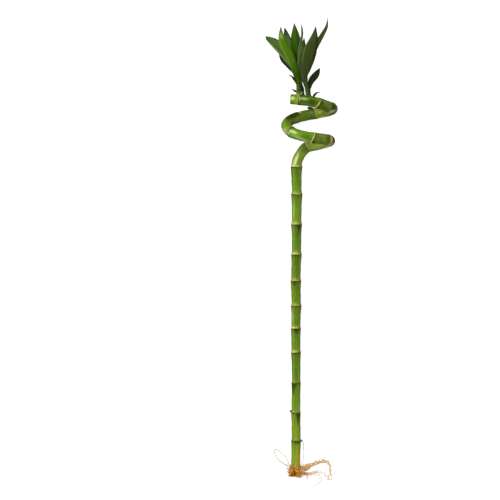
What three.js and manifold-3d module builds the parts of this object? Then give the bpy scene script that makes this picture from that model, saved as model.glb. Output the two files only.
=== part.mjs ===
// Lucky bamboo: one spiral stalk with its leafy shoots and bare roots, lying on a surface
// Lengths are millimetres and angles are degrees. Inside the stalk, x is measured from the axis
// of the straight cane, y from its root end towards the leaves, and z up from the surface.
import * as THREE from 'three';
import { mergeVertices } from 'three/addons/utils/BufferGeometryUtils.js';
import Module from 'manifold-3d';

const wasm = await Module();
wasm.setup();

// Place of the stalk's own zero, so that the whole stalk is centred over its box
const STALK_X = -8;
const STALK_Y = -336;

// Clearance between two pieces that touch, and the size below which a sliver is closed up
const GAP = 0.3;
const SLIVER = 0.01;

// Straight cane: each ring's height above the root end, the diameter over the ring, the waist of
// the internode below it, and how far the axis wanders sideways there
const CANE_RINGS = [
  { y: 54, ring: 15.1, waist: 12.9, x: 0.1 },
  { y: 96, ring: 14.7, waist: 13, x: -0.2 },
  { y: 140.7, ring: 14.4, waist: 12.8, x: 0.2 },
  { y: 186.8, ring: 15.4, waist: 12.4, x: -0.1 },
  { y: 222.8, ring: 15.7, waist: 13.2, x: -0.2 },
  { y: 256.5, ring: 16.4, waist: 13.4, x: 0.3 },
  { y: 294, ring: 16.6, waist: 13.7, x: -0.3 },
  { y: 333.8, ring: 16.5, waist: 13.7, x: 0.7 },
  { y: 378.8, ring: 17.1, waist: 13.4, x: 0.8 },
  { y: 423.8, ring: 17.8, waist: 14, x: 1.1 },
  { y: 465, ring: 18.3, waist: 14.4, x: 0.8 },
];
const ROOT_END = { x: -1.0, diameter: 12.9, axisHeight: 7.8 };
const STRAIGHT_TOP_AXIS_HEIGHT = 8.6;

// Bend that leads from the straight cane into the lowest winding of the coil
const EXIT_BEND = [
  [2.2, 474.7, 8.6],
  [6.8, 483.6, 8.6],
  [12.4, 490.8, 8.5],
];

// Coil: a turn angle of 90 is the top of a winding, -90 its underside and 0 its right-hand side
const COIL = {
  firstTurn: -450,
  lastTurn: 90,
  step: 22.5,
  firstCentre: { x: 17.6, z: 42.4 },
  lastCentre: { x: 20.1, z: 41.45 },
  firstRadius: 31.8,
  lastRadius: 34.8,
  rise: 33.9,
  ring: 17.4,
  waist: 15.6,
  endDiameter: 14.6,
};
// Height of the coil's centre line at each eighth of a turn, from the first turn upwards
const EIGHTH_TURN = 45;
const COIL_HEIGHTS = [
  494.5, 499.8, 502.5, 504.9, 507.6, 513.9, 525.6, 536.0, 542.5, 546.9, 550.4, 554.6, 561.2,
];
const COIL_RING_TURNS = [-450, -332, -280, -218, -121, -71, 18, 70];

// Last stretch, which leaves the coil almost straight and is cut square, and its only ring
const LEAFY_END = [
  [11.4, 562.4, 74.9],
  [3.4, 563.3, 73.9],
  [-3.2, 563.8, 72.4],
  [-8.8, 564.1, 72],
];
const LEAFY_END_RING = 1;

// Shape of a ring and of the internode between two rings
const RING_HALF_BAND = 1.2;
const RING_FOOT = 1.9;
const FOOT_SHARE = 0.962;
const WAIST_SHARE = 0.22;
const NARROWING_POWER = 2;
const SWELLING_POWER = 1.4;
const CUT_EDGE_SHARE = 0.94;
const CUT_EDGE_LENGTH = 1.5;
const CANE_SIDES = 14;
const STRAIGHT_STEP = 16;
const COIL_STEP = 8;

// Side buds that sit in the rings' axils
const BUDS = [
  { at: [-7.6, 97.5, 8.5], lean: [-1, 0.7, 0.2], length: 2.6, radius: 1.5 },
  { at: [7.7, 55, 7.6], lean: [1, 0.5, 0], length: 2.4, radius: 1.5 },
  { at: [23, 551, 9.5], lean: [-1, 0.5, 0.1], length: 5.8, radius: 2 },
];

// Stems of the two leafy shoots, from inside the cane up to their growing tips
const STEMS = {
  shoot_stem_left: {
    path: [[4.2, 565.5, 72.8], [4.1, 572, 74.3], [3.5, 586, 77], [1.8, 604, 80], [1.8, 618, 82]],
    diameters: [8.8, 8, 7.4, 6.4, 3.4],
  },
  shoot_stem_right: {
    path: [[18.6, 563, 75], [17.8, 570, 74.6], [15.2, 584, 76.2], [12.7, 598, 78.6], [11.4, 609, 80]],
    diameters: [8.4, 7.4, 6.8, 6, 3.4],
  },
};
const STEM_SIDES = 12;
const STEM_STEPS = 10;

// Leaves: path of the midrib from inside the carrier to the tip, full width, how far along the
// leaf is widest, width at the base, how the blade rolls about its midrib from base to tip, and
// how deep its two halves are folded (positive when the hollow side faces up)
const LEAVES = {
  leaf_left_front: {
    path: [[2.6, 588, 80], [-0.4, 598, 84.5], [-3.8, 612, 91], [-12.6, 633, 99], [-20, 647, 102.6],
      [-22.8, 658, 102.4], [-23.4, 672, 99.6]],
    width: 13.6, widest: 0.62, base: 6.6, roll: [0, 4, -6], fold: -0.2, point: 1,
  },
  leaf_left_far: {
    path: [[1.6, 594, 77.5], [-1.6, 606, 77], [-8, 617.4, 75], [-21.2, 633.2, 69], [-33.4, 646, 59],
      [-45.6, 659, 44]],
    width: 24.4, widest: 0.62, base: 5, roll: [-10, 46, 46], fold: 0.42, point: 0.78,
  },
  leaf_left_under: {
    path: [[1.8, 588, 75.4], [0.2, 602, 69.4], [-9.8, 616.6, 61], [-18.8, 627.2, 54], [-24.8, 647, 43]],
    width: 13.4, widest: 0.55, base: 4.6, roll: [0, 0, 0], fold: 0.2, point: 1,
  },
  leaf_left_back: {
    path: [[2, 600, 77.2], [-0.6, 612, 71], [-6, 632, 63], [-12.4, 651, 56], [-17.4, 672, 50]],
    width: 13, widest: 0.6, base: 6, roll: [0, 0, 8], fold: 0.18, point: 0.8,
  },
  leaf_middle: {
    path: [[1.6, 606, 79.4], [1.8, 616, 76.8], [1, 632, 75.6], [-0.9, 650, 75], [-3.2, 678.5, 69]],
    width: 16.2, widest: 0.52, base: 5.6, roll: [0, 6, 0], fold: 0.2, point: 1.05,
  },
  leaf_edge_on: {
    path: [[2.8, 603, 81.4], [4.2, 614, 82.4], [4.4, 630, 84.6], [7.4, 650, 86.6], [8.8, 662, 86.6],
      [7.2, 676.5, 84.4]],
    width: 8, widest: 0.5, base: 4.6, roll: [20, 62, 40], fold: -0.15, point: 0.8,
  },
  leaf_right_inner: {
    path: [[9.4, 583, 78.2], [7.2, 596, 81.2], [6.4, 614, 88.6], [9.4, 634, 94], [11.4, 655, 94]],
    width: 12.4, widest: 0.56, base: 7.6, roll: [-50, -10, 0], fold: -0.2, point: 0.9,
  },
  leaf_right_front: {
    path: [[13, 592, 79.8], [13.4, 601, 85.2], [16.2, 616, 93.6], [20.8, 636, 102], [26, 654, 106],
      [28.8, 673, 104]],
    width: 19.6, widest: 0.5, base: 7.2, roll: [6, 4, 0], fold: -0.2, point: 1.15,
  },
  leaf_right_long: {
    path: [[12.6, 598, 76.6], [15, 610, 72], [20, 624.6, 69], [28.8, 645, 63.6], [39.6, 663, 58],
      [45.2, 674, 54.6], [46.6, 687, 52]],
    width: 10, widest: 0.58, base: 4, roll: [0, 36, 42], fold: 0.25, point: 1,
  },
  leaf_right_small: {
    path: [[18.4, 575, 72.6], [19.8, 585, 70.6], [22.9, 593, 67], [29.8, 601.6, 63], [35.2, 611, 60]],
    width: 10.2, widest: 0.68, base: 4.6, roll: [20, 10, 10], fold: 0.2, point: 0.6,
  },
  leaf_sheath_between: {
    path: [[10.4, 566, 71.5], [10, 573, 70.6], [8.6, 583, 70], [6.8, 594, 70.6]],
    width: 4.6, widest: 0.35, base: 4, roll: [30, 40, 50], fold: 0.3, point: 1,
  },
  scale_leaf_right: {
    path: [[24.6, 562, 77], [25.6, 568.4, 77.6], [29.6, 573, 78.4], [36, 574.8, 78.6]],
    width: 3.4, widest: 0.4, base: 2.8, roll: [20, 20, 20], fold: 0.25, point: 1,
  },
  scale_leaf_left_high: {
    path: [[1.4, 586, 77.6], [-2.6, 592.6, 80.4], [-7, 597.6, 82], [-12, 600.4, 82.4]],
    width: 4.4, widest: 0.4, base: 3, roll: [20, 30, 30], fold: 0.2, point: 1,
  },
  scale_leaf_left_low: {
    path: [[2.2, 574, 75.4], [-1.6, 575.8, 77.6], [-4.6, 577.6, 79], [-7.4, 580.2, 79.6]],
    width: 3.4, widest: 0.4, base: 2.6, roll: [20, 30, 30], fold: 0.2, point: 1,
  },
};
const BLADE_STEPS = 12;
const BLADE_THICKNESS = 0.95;
const BLADE_EDGE_THICKNESS = 0.62;
const BLADE_RIPPLE = 0.45;
const BLADE_RIPPLES = 2.5;
const CLASP_SHARE = 0.14;
const CLASP_FOLD = 0.85;
const TIP_HALF_WIDTH = 0.35;
const BLADE_ACROSS = [-1, -0.55, 0, 0.55, 1];
const FOLD_POWER = 1.5;
const FLARE_POWER = 1.5;

// Roots: a sleeve of matted roots round the cut end, and the strands that grow out of it
const ROOT_SLEEVE = { from: 0.8, to: 15.6, radius: 8.4, lump: 0.8, sides: 14, steps: 5 };
const ROOT_BUNCHES = [
  {
    path: [[6, 10.4, 7.4], [12, 12.6, 5.6], [18.6, 15.4, 4], [30, 20, 2.6], [40.2, 23.2, 1.8],
      [46.6, 20.5, 1.5], [51, 8.4, 1.4], [51, -2.4, 1.2], [46.8, -6.2, 1.1]],
    strands: 2, spread: 2, diameter: 1.4,
  },
  {
    path: [[6, 10.4, 7.4], [12, 12.6, 5.6], [18.6, 15.4, 4], [30, 20, 2.6], [40.2, 23.2, 1.8],
      [47.4, 21.6, 1.5]],
    strands: 4, spread: 3, diameter: 1.5,
  },
  {
    path: [[6, 8, 7], [11, 11, 5.4], [16, 13.4, 3.6], [22, 16.4, 2.6]],
    strands: 7, spread: 4.2, diameter: 1.6,
  },
  {
    path: [[6, 4.4, 6], [12, 4, 4], [18.6, 3.2, 3], [30, 6.9, 2], [38, 4.6, 1.4], [48.4, -1.6, 1.1]],
    strands: 3, spread: 2.2, diameter: 1.3,
  },
  {
    path: [[-6, 13.8, 7], [-12, 16.4, 4], [-23.6, 22.2, 1.6], [-31.2, 31.4, 1.1], [-32.6, 41, 1],
      [-28.2, 39.4, 1], [-19.7, 32.9, 1.1], [-13.6, 26.4, 1.6], [-11.6, 20, 3], [-6, 14, 6]],
    strands: 1, spread: 0.4, diameter: 0.8,
  },
  {
    path: [[7, 12.4, 8], [20, 17.4, 4], [37, 22.4, 2], [48, 23.6, 1.3], [55, 18, 1.1], [55.8, 10.6, 1]],
    strands: 1, spread: 0.8, diameter: 0.8,
  },
  {
    path: [[6, 3, 4], [13, 3.4, 2.6], [17, 1.6, 1.6], [16.6, -3.6, 1.1]],
    strands: 1, spread: 0.2, diameter: 1.8,
  },
  {
    path: [[7, 4, 5], [20, 5.4, 2.4], [32, 3, 1.2], [37, -5, 1], [30, -12.4, 0.9], [22.6, -15, 0.9]],
    strands: 2, spread: 1.6, diameter: 0.75,
  },
  {
    path: [[9.4, 53.6, 7.4], [11.2, 48.2, 5], [11.8, 34.4, 1.6], [10.4, 23.7, 1.4], [7.4, 13.6, 5]],
    strands: 1, spread: 0, diameter: 0.75,
  },
];
const CURLED_ROOTS = { count: 26, reach: 7.5, diameter: 1.4, rise: 5, between: 0.382, flatness: 0.7 };
const ROOT_TIP_SHARE = 0.55;
const LEAST_ROOT_HEIGHT = 0.1;
const ROOT_SIDES = 5;
const ROOT_SEGMENT = 5.5;
const ROOT_SEED = 11;

// Colours and finishes of the grown surfaces
const FINISHES = {
  cane: { color: 0x63821b, roughness: 0.38, metalness: 0 },
  stem: { color: 0x4f7424, roughness: 0.45, metalness: 0 },
  leaf: { color: 0x3f6a1e, roughness: 0.42, metalness: 0 },
  brightLeaf: { color: 0x5c8f1c, roughness: 0.4, metalness: 0 },
  root: { color: 0xd08a45, roughness: 0.7, metalness: 0 },
};

const radians = THREE.MathUtils.degToRad;
const mix = THREE.MathUtils.lerp;

function vectors(points) {
  return points.map(([x, y, z]) => new THREE.Vector3(x, y, z));
}

// A closed skin through a row of cross-sections, each a loop of points that runs anticlockwise
// when it is seen from the far end of the row
function loft(sections) {
  const sides = sections[0].length;
  const indices = [];
  for (let row = 0; row + 1 < sections.length; row += 1) {
    for (let side = 0; side < sides; side += 1) {
      const a = row * sides + side;
      const b = row * sides + ((side + 1) % sides);
      indices.push(a, b, b + sides, a, b + sides, a + sides);
    }
  }
  const last = (sections.length - 1) * sides;
  for (let side = 0; side < sides / 2 - 1; side += 1) {
    const [a, b, c, d] = [side, side + 1, sides - 2 - side, sides - 1 - side];
    indices.push(a, c, b, a, d, c);
    indices.push(last + a, last + b, last + c, last + a, last + c, last + d);
  }
  const positions = sections.flat().flatMap((point) => [point.x, point.y, point.z]);
  const geometry = new THREE.BufferGeometry();
  geometry.setAttribute('position', new THREE.Float32BufferAttribute(positions, 3));
  geometry.setIndex(indices);
  return geometry;
}

// The same shape as a solid that can be joined and cut
function toSolid(geometry) {
  geometry.deleteAttribute('normal');
  geometry.deleteAttribute('uv');
  const merged = mergeVertices(geometry, 1e-4);
  return new wasm.Manifold(new wasm.Mesh({
    numProp: 3,
    vertProperties: new Float32Array(merged.attributes.position.array),
    triVerts: new Uint32Array(merged.index.array),
  }));
}

function toGeometry(solid) {
  const { vertProperties, triVerts } = solid.getMesh();
  const geometry = new THREE.BufferGeometry();
  geometry.setAttribute('position', new THREE.BufferAttribute(vertProperties, 3));
  geometry.setIndex(new THREE.BufferAttribute(triVerts, 1));
  geometry.computeVertexNormals();
  return geometry;
}

// The main body of a solid, without the slivers and scraps that a cut leaves behind
function mainBody(solid) {
  const bodies = solid.simplify(SLIVER).decompose();
  return bodies.reduce((best, body) => (body.volume() > best.volume() ? body : best));
}

// What lies below the surface that the stalk rests on
const belowSurface = toSolid(new THREE.BoxGeometry(400, 1600, 40).translate(0, 300, -20));

// Sections round a curve at the given distances along it, carried along without twist
function tubeSections(curve, distances, sides, radiusAt) {
  const total = curve.getLength();
  const normal = new THREE.Vector3(0.02, 0.01, 1);
  return distances.map((distance) => {
    const share = THREE.MathUtils.clamp(distance / total, 0, 1);
    const centre = curve.getPointAt(share);
    const tangent = curve.getTangentAt(share);
    normal.addScaledVector(tangent, -normal.dot(tangent)).normalize();
    const across = new THREE.Vector3().crossVectors(tangent, normal);
    return Array.from({ length: sides }, (_, side) => {
      const angle = (2 * Math.PI * side) / sides;
      const radius = radiusAt(distance);
      return centre.clone()
        .addScaledVector(normal, radius * Math.cos(angle))
        .addScaledVector(across, radius * Math.sin(angle));
    });
  });
}

function evenSteps(from, to, count) {
  return Array.from({ length: count + 1 }, (_, step) => mix(from, to, step / count));
}

// Centre line of the coil at a turn angle
const coilHeight = new THREE.SplineCurve(
  COIL_HEIGHTS.map((height, index) => new THREE.Vector2(index, height)),
);
function coilPoint(turn) {
  const share = (turn - COIL.firstTurn) / (COIL.lastTurn - COIL.firstTurn);
  const heightShare = (turn - COIL.firstTurn) / (EIGHTH_TURN * (COIL_HEIGHTS.length - 1));
  const radius = mix(COIL.firstRadius, COIL.lastRadius, share);
  return new THREE.Vector3(
    mix(COIL.firstCentre.x, COIL.lastCentre.x, share) + radius * Math.cos(radians(turn)),
    coilHeight.getPoint(heightShare).y,
    mix(COIL.firstCentre.z, COIL.lastCentre.z, share) + COIL.rise * Math.sin(radians(turn)),
  );
}

// Centre line of the whole cane, with the place of every ring along it
function caneLayout() {
  const topRing = CANE_RINGS[CANE_RINGS.length - 1].y;
  const axisHeight = (y) => mix(ROOT_END.axisHeight, STRAIGHT_TOP_AXIS_HEIGHT, y / topRing);
  const points = [new THREE.Vector3(ROOT_END.x, 0, ROOT_END.axisHeight)];
  CANE_RINGS.forEach(({ x, y }) => points.push(new THREE.Vector3(x, y, axisHeight(y))));
  points.push(...vectors(EXIT_BEND));
  const coilIndex = points.length;
  for (let turn = COIL.firstTurn; turn <= COIL.lastTurn; turn += COIL.step) {
    points.push(coilPoint(turn));
  }
  const endIndex = points.length;
  points.push(...vectors(LEAFY_END));
  const spans = points.length - 1;
  const fineness = 40;
  const curve = new THREE.CatmullRomCurve3(points);
  curve.arcLengthDivisions = spans * fineness;
  const lengths = curve.getLengths();
  const distanceOf = (index) => {
    const place = index * fineness;
    const low = Math.floor(place);
    return mix(lengths[low], lengths[Math.min(low + 1, lengths.length - 1)], place - low);
  };
  const rings = CANE_RINGS.map(({ ring, waist }, index) => (
    { distance: distanceOf(index + 1), radius: ring / 2, waist: waist / 2 }
  ));
  const coilRings = COIL_RING_TURNS.map((turn) => coilIndex + (turn - COIL.firstTurn) / COIL.step);
  [...coilRings, endIndex + LEAFY_END_RING].forEach((index) => {
    rings.push({ distance: distanceOf(index), radius: COIL.ring / 2, waist: COIL.waist / 2 });
  });
  const total = curve.getLength();
  const rootEnd = { distance: 0, radius: ROOT_END.diameter / 2, end: true };
  const leafEnd = {
    distance: total, radius: COIL.endDiameter / 2, waist: COIL.waist / 2, end: true,
  };
  const bendStart = distanceOf(CANE_RINGS.length);
  return { curve, total, bendStart, rings: [rootEnd, ...rings, leafEnd] };
}
const cane = caneLayout();

// Radius of the cane: a raised band at each ring, from which the internode above narrows quickly
// to a waist and then swells slowly towards the next ring
function caneRadius(distance) {
  const upper = Math.max(1, cane.rings.findIndex((ring) => ring.distance >= distance));
  const [below, above] = [cane.rings[upper - 1], cane.rings[upper]];
  const fromBelow = distance - below.distance;
  const fromAbove = above.distance - distance;
  if (fromBelow <= RING_HALF_BAND + 1e-6 && !below.end) {
    return below.radius;
  }
  if (fromAbove <= RING_HALF_BAND + 1e-6 && !above.end) {
    return above.radius;
  }
  const waistAt = WAIST_SHARE * (above.distance - below.distance);
  const lowFoot = (below.end ? 1 : FOOT_SHARE) * below.radius;
  const highFoot = (above.end ? 1 : FOOT_SHARE) * above.radius;
  if (fromBelow < waistAt) {
    const share = 1 - fromBelow / waistAt;
    return above.waist + (lowFoot - above.waist) * share ** NARROWING_POWER;
  }
  const share = (fromBelow - waistAt) / (above.distance - below.distance - waistAt);
  return above.waist + (highFoot - above.waist) * share ** SWELLING_POWER;
}

// Distances of the cane's sections: close together at the rings, wider apart between them
function caneStations() {
  const marks = new Set([0, CUT_EDGE_LENGTH, cane.total - CUT_EDGE_LENGTH, cane.total]);
  cane.rings.forEach(({ distance, end }, index) => {
    if (!end) {
      [-RING_FOOT, -RING_HALF_BAND, RING_HALF_BAND, RING_FOOT].forEach((offset) => {
        marks.add(distance + offset);
      });
    }
    if (index > 0) {
      const below = cane.rings[index - 1].distance;
      marks.add(below + WAIST_SHARE * (distance - below));
    }
  });
  const sorted = [...marks].sort((a, b) => a - b);
  return sorted.flatMap((mark, index) => {
    const next = sorted[index + 1];
    if (next === undefined) {
      return [mark];
    }
    const step = mark < cane.bendStart - 1 ? STRAIGHT_STEP : COIL_STEP;
    return evenSteps(mark, next, Math.ceil((next - mark) / step)).slice(0, -1);
  });
}

function budSolid({ at, lean, length, radius }) {
  const bud = new THREE.SphereGeometry(1, 8, 6);
  bud.scale(radius, length, radius);
  const direction = new THREE.Vector3(...lean).normalize();
  const turn = new THREE.Quaternion().setFromUnitVectors(new THREE.Vector3(0, 1, 0), direction);
  bud.applyQuaternion(turn);
  bud.translate(...at);
  return toSolid(bud);
}

// The cane as a solid, grown outwards by a clearance
function caneSolid(clearance) {
  const radiusAt = (distance) => {
    const cut = distance === 0 || distance === cane.total ? CUT_EDGE_SHARE : 1;
    return caneRadius(distance) * cut + clearance;
  };
  return toSolid(loft(tubeSections(cane.curve, caneStations(), CANE_SIDES, radiusAt)));
}

function stemSolid({ path, diameters }, clearance) {
  const curve = new THREE.CatmullRomCurve3(vectors(path));
  const total = curve.getLength();
  const radiusAt = (distance) => {
    const place = (distance / total) * (diameters.length - 1);
    const low = Math.min(Math.floor(place), diameters.length - 2);
    return mix(diameters[low], diameters[low + 1], place - low) / 2 + clearance;
  };
  return toSolid(loft(tubeSections(curve, evenSteps(0, total, STEM_STEPS), STEM_SIDES, radiusAt)));
}

// Share of a leaf's full width at a place along it
function bladeShare({ widest, base, width, point }, place) {
  if (place < widest) {
    const least = base / width;
    return least + (1 - least) * Math.sin((Math.PI / 2) * (place / widest)) ** FLARE_POWER;
  }
  return Math.cos((Math.PI / 2) * ((place - widest) / (1 - widest))) ** point;
}

// A leaf as a closed blade: its base clasps what carries it, its halves are folded along the
// midrib, and its margins ripple
function bladeSolid(leaf, clearance) {
  const curve = new THREE.CatmullRomCurve3(vectors(leaf.path));
  const sections = evenSteps(0, 1, BLADE_STEPS).map((place) => {
    const centre = curve.getPointAt(place);
    const tangent = curve.getTangentAt(place);
    const roll = place < 0.5
      ? mix(leaf.roll[0], leaf.roll[1], place * 2)
      : mix(leaf.roll[1], leaf.roll[2], place * 2 - 1);
    const face = new THREE.Vector3(0, 0, 1);
    face.addScaledVector(tangent, -face.dot(tangent)).normalize();
    face.applyAxisAngle(tangent, radians(roll));
    const side = new THREE.Vector3().crossVectors(tangent, face);
    const halfWidth = Math.max(TIP_HALF_WIDTH, (leaf.width / 2) * bladeShare(leaf, place));
    const clasp = Math.max(0, 1 - place / CLASP_SHARE);
    const fold = mix(leaf.fold, Math.sign(leaf.fold) * CLASP_FOLD, clasp);
    const ripple = BLADE_RIPPLE * Math.sin(2 * Math.PI * BLADE_RIPPLES * place)
      * (halfWidth / leaf.width) * 2;
    const skin = (direction) => BLADE_ACROSS.map((share) => {
      const reach = Math.abs(share);
      const slope = fold * FOLD_POWER * reach ** (FOLD_POWER - 1) * Math.sign(share);
      const half = mix(BLADE_THICKNESS, BLADE_EDGE_THICKNESS, reach) / 2 + clearance;
      const lift = fold * halfWidth * reach ** FOLD_POWER + ripple * share * reach;
      const offset = (direction * half) / Math.hypot(1, slope);
      return centre.clone()
        .addScaledVector(side, share * (halfWidth + clearance) - slope * offset)
        .addScaledVector(face, lift + offset);
    });
    return [...skin(-1).reverse(), ...skin(1)];
  });
  return toSolid(loft(sections));
}

// Seeded draws between 0 and 1 for the roots
let drawState = ROOT_SEED;
function draw() {
  drawState = (drawState * 1664525 + 1013904223) % 4294967296;
  return drawState / 4294967296;
}
function drawBetween(low, high) {
  return mix(low, high, draw());
}

// One root along a path, thinning towards its tip and never below the surface
function rootSolid(points, diameter) {
  const curve = new THREE.CatmullRomCurve3(points);
  const total = curve.getLength();
  const count = Math.max(3, Math.round(total / ROOT_SEGMENT));
  const radiusAt = (distance) => (diameter / 2) * mix(1, ROOT_TIP_SHARE, distance / total);
  return toSolid(loft(tubeSections(curve, evenSteps(0, total, count), ROOT_SIDES, radiusAt)));
}

// Strands of a bunch: copies of its path, pushed apart except where they leave the sleeve
function bunchSolids({ path, strands, spread, diameter }) {
  const lowest = diameter / 2 + LEAST_ROOT_HEIGHT;
  return Array.from({ length: strands }, () => {
    const points = vectors(path).map((point, index) => {
      const loose = index === 0 ? 0.5 : Math.min(1, index / 2);
      point.x += loose * drawBetween(-spread, spread);
      point.y += loose * drawBetween(-spread, spread);
      point.z = Math.max(lowest, point.z + loose * drawBetween(-0.5, 0.5) * spread);
      return point;
    });
    return rootSolid(points, diameter * drawBetween(0.8, 1.1));
  });
}

// Short roots that curl out of the sleeve on every side
function curledSolids() {
  const { count, reach, diameter, rise, between, flatness } = CURLED_ROOTS;
  return Array.from({ length: count }, (_, index) => {
    const angle = 2 * Math.PI * index * between + drawBetween(-0.2, 0.2);
    const start = drawBetween(ROOT_SLEEVE.from + 1, ROOT_SLEEVE.to - 1.5);
    const swing = drawBetween(-0.7, 0.7);
    const along = drawBetween(-1, 0.9) * rise;
    const points = [0, 0.35, 0.7, 1].map((share) => {
      const radius = ROOT_SLEEVE.radius - 1 + share * reach * drawBetween(0.55, 0.85);
      const bearing = angle + swing * share;
      return new THREE.Vector3(
        ROOT_END.x + radius * Math.cos(bearing),
        start + along * share ** 1.5,
        Math.max(
          diameter / 2 + LEAST_ROOT_HEIGHT,
          ROOT_END.axisHeight + flatness * radius * Math.sin(bearing),
        ),
      );
    });
    return rootSolid(points, diameter * drawBetween(0.7, 1.1));
  });
}

// Matted sleeve that the roots spring from, lumpy and open round the cane
function sleeveSolid() {
  const { from, to, radius, lump, sides, steps } = ROOT_SLEEVE;
  const sections = evenSteps(from, to, steps).map((y, step) => {
    const swell = 1 - 0.1 * Math.abs((2 * step) / steps - 1) ** 2;
    return Array.from({ length: sides }, (_, side) => {
      const angle = (-2 * Math.PI * side) / sides;
      const reach = (radius + drawBetween(-lump, lump)) * swell;
      return new THREE.Vector3(
        ROOT_END.x + reach * Math.cos(angle),
        y,
        ROOT_END.axisHeight + reach * Math.sin(angle),
      );
    });
  });
  return toSolid(loft(sections));
}

function rootTuftSolid() {
  const pieces = [sleeveSolid(), ...curledSolids(), ...ROOT_BUNCHES.flatMap(bunchSolids)];
  return wasm.Manifold.union(pieces);
}

const caneClearance = caneSolid(GAP);
const caneBody = mainBody(
  wasm.Manifold.union([caneSolid(0), ...BUDS.map(budSolid)]).subtract(belowSurface),
);
const clearances = { cane: caneClearance };
const solids = { cane: caneBody };

for (const [name, stem] of Object.entries(STEMS)) {
  solids[name] = mainBody(stemSolid(stem, 0).subtract(caneClearance));
  clearances[name] = stemSolid(stem, GAP);
}

// Each leaf is cut clear of the cane, of the stems and of the leaves already placed
for (const [name, leaf] of Object.entries(LEAVES)) {
  const neighbours = wasm.Manifold.union(Object.values(clearances));
  solids[name] = mainBody(bladeSolid(leaf, 0).subtract(neighbours));
  clearances[name] = bladeSolid(leaf, GAP);
}

const budClearances = BUDS.map(({ radius, length, ...bud }) => (
  budSolid({ ...bud, radius: radius + GAP, length: length + GAP })
));
solids.root_tuft = mainBody(
  rootTuftSolid().subtract(wasm.Manifold.union([caneClearance, ...budClearances, belowSurface])),
);

function finishOf(name) {
  if (name === 'cane') {
    return FINISHES.cane;
  }
  if (name === 'root_tuft') {
    return FINISHES.root;
  }
  if (name in STEMS) {
    return FINISHES.stem;
  }
  return ['leaf_left_front', 'leaf_middle'].includes(name) ? FINISHES.brightLeaf : FINISHES.leaf;
}

const stalk = new THREE.Group();
stalk.position.set(STALK_X, STALK_Y, 0);
for (const [name, solid] of Object.entries(solids)) {
  const mesh = new THREE.Mesh(toGeometry(solid), new THREE.MeshStandardMaterial(finishOf(name)));
  mesh.name = name;
  stalk.add(mesh);
}

const luckyBamboo = new THREE.Group();
luckyBamboo.add(stalk);

export default luckyBamboo;
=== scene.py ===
import math

import bpy
import numpy as np
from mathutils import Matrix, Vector


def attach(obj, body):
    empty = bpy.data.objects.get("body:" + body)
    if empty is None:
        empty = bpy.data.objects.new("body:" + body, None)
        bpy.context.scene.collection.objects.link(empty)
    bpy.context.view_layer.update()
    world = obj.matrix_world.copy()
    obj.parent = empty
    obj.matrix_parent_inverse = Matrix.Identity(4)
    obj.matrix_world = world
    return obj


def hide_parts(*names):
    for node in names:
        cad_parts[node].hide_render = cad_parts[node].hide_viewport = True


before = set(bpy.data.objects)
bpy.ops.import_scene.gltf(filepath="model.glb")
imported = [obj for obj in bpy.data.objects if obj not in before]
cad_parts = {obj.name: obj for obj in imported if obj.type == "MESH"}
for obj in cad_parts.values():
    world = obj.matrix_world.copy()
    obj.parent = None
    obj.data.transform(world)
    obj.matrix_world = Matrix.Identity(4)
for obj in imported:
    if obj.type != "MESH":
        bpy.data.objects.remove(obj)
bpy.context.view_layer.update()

MM, TURN = 0.001, 2 * math.pi
FLOOR_CLEARANCE = 0.00005
STALK_PLACE = np.array([-8.0, -336.0, 0.0])


def rows(fields, *values):
    """Rows of a table as dictionaries. A row may leave out its last fields."""
    return [dict(zip(fields.split(), row)) for row in values]


# Straight cane: each ring's height above the root end, the diameter over the ring, the waist of
# the internode below it, how far the axis wanders sideways there, how pale and how rusty the
# ring's band is, and how deep a green the internode below it has (yellower below zero)
CANE_RINGS = rows(
    "y ring waist x pale rusty deep",
    (54, 15.1, 12.9, 0.1, 0.12, 0.8, -0.9),
    (96, 14.7, 13, -0.2, 0.2, 0.3, -0.5),
    (140.7, 14.4, 12.8, 0.2, 0.25, 0.8, 0.0),
    (186.8, 15.4, 12.4, -0.1, 1.0, 0.1, 0.2),
    (222.8, 15.7, 13.2, -0.2, 0.95, 0.2, 0.2),
    (256.5, 16.4, 13.4, 0.3, 0.6, 0.2, 0.25),
    (294, 16.6, 13.7, -0.3, 0.7, 0.2, 0.35),
    (333.8, 16.5, 13.7, 0.7, 0.9, 0.1, 0.5),
    (378.8, 17.1, 13.4, 0.8, 0.8, 0.1, 0.3),
    (423.8, 17.8, 14, 1.1, 0.7, 0.3, -0.1),
    (465, 18.3, 14.4, 0.8, 0.9, 0.3, 0.05),
)
ROOT_X, ROOT_AXIS_HEIGHT, ROOT_DIAMETER = -1.0, 7.8, 12.9
STRAIGHT_TOP_AXIS_HEIGHT = 8.6
EXIT_BEND = [[2.2, 474.7, 8.6], [6.8, 483.6, 8.6], [12.4, 490.8, 8.5]]

# Coil: a turn angle of 90 degrees is the top of a winding, -90 its underside
COIL_FIRST_TURN, COIL_LAST_TURN, COIL_STEP = -450, 90, 22.5
COIL_FIRST_CENTRE, COIL_LAST_CENTRE = (17.6, 42.4), (20.1, 41.45)
COIL_FIRST_RADIUS, COIL_LAST_RADIUS, COIL_RISE = 31.8, 34.8, 33.9
COIL_RING, COIL_WAIST, COIL_END = 17.4, 15.6, 14.6
COIL_HEIGHTS = [
    494.5, 499.8, 502.5, 504.9, 507.6, 513.9, 525.6, 536.0, 542.5, 546.9, 550.4, 554.6, 561.2,
]
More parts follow.
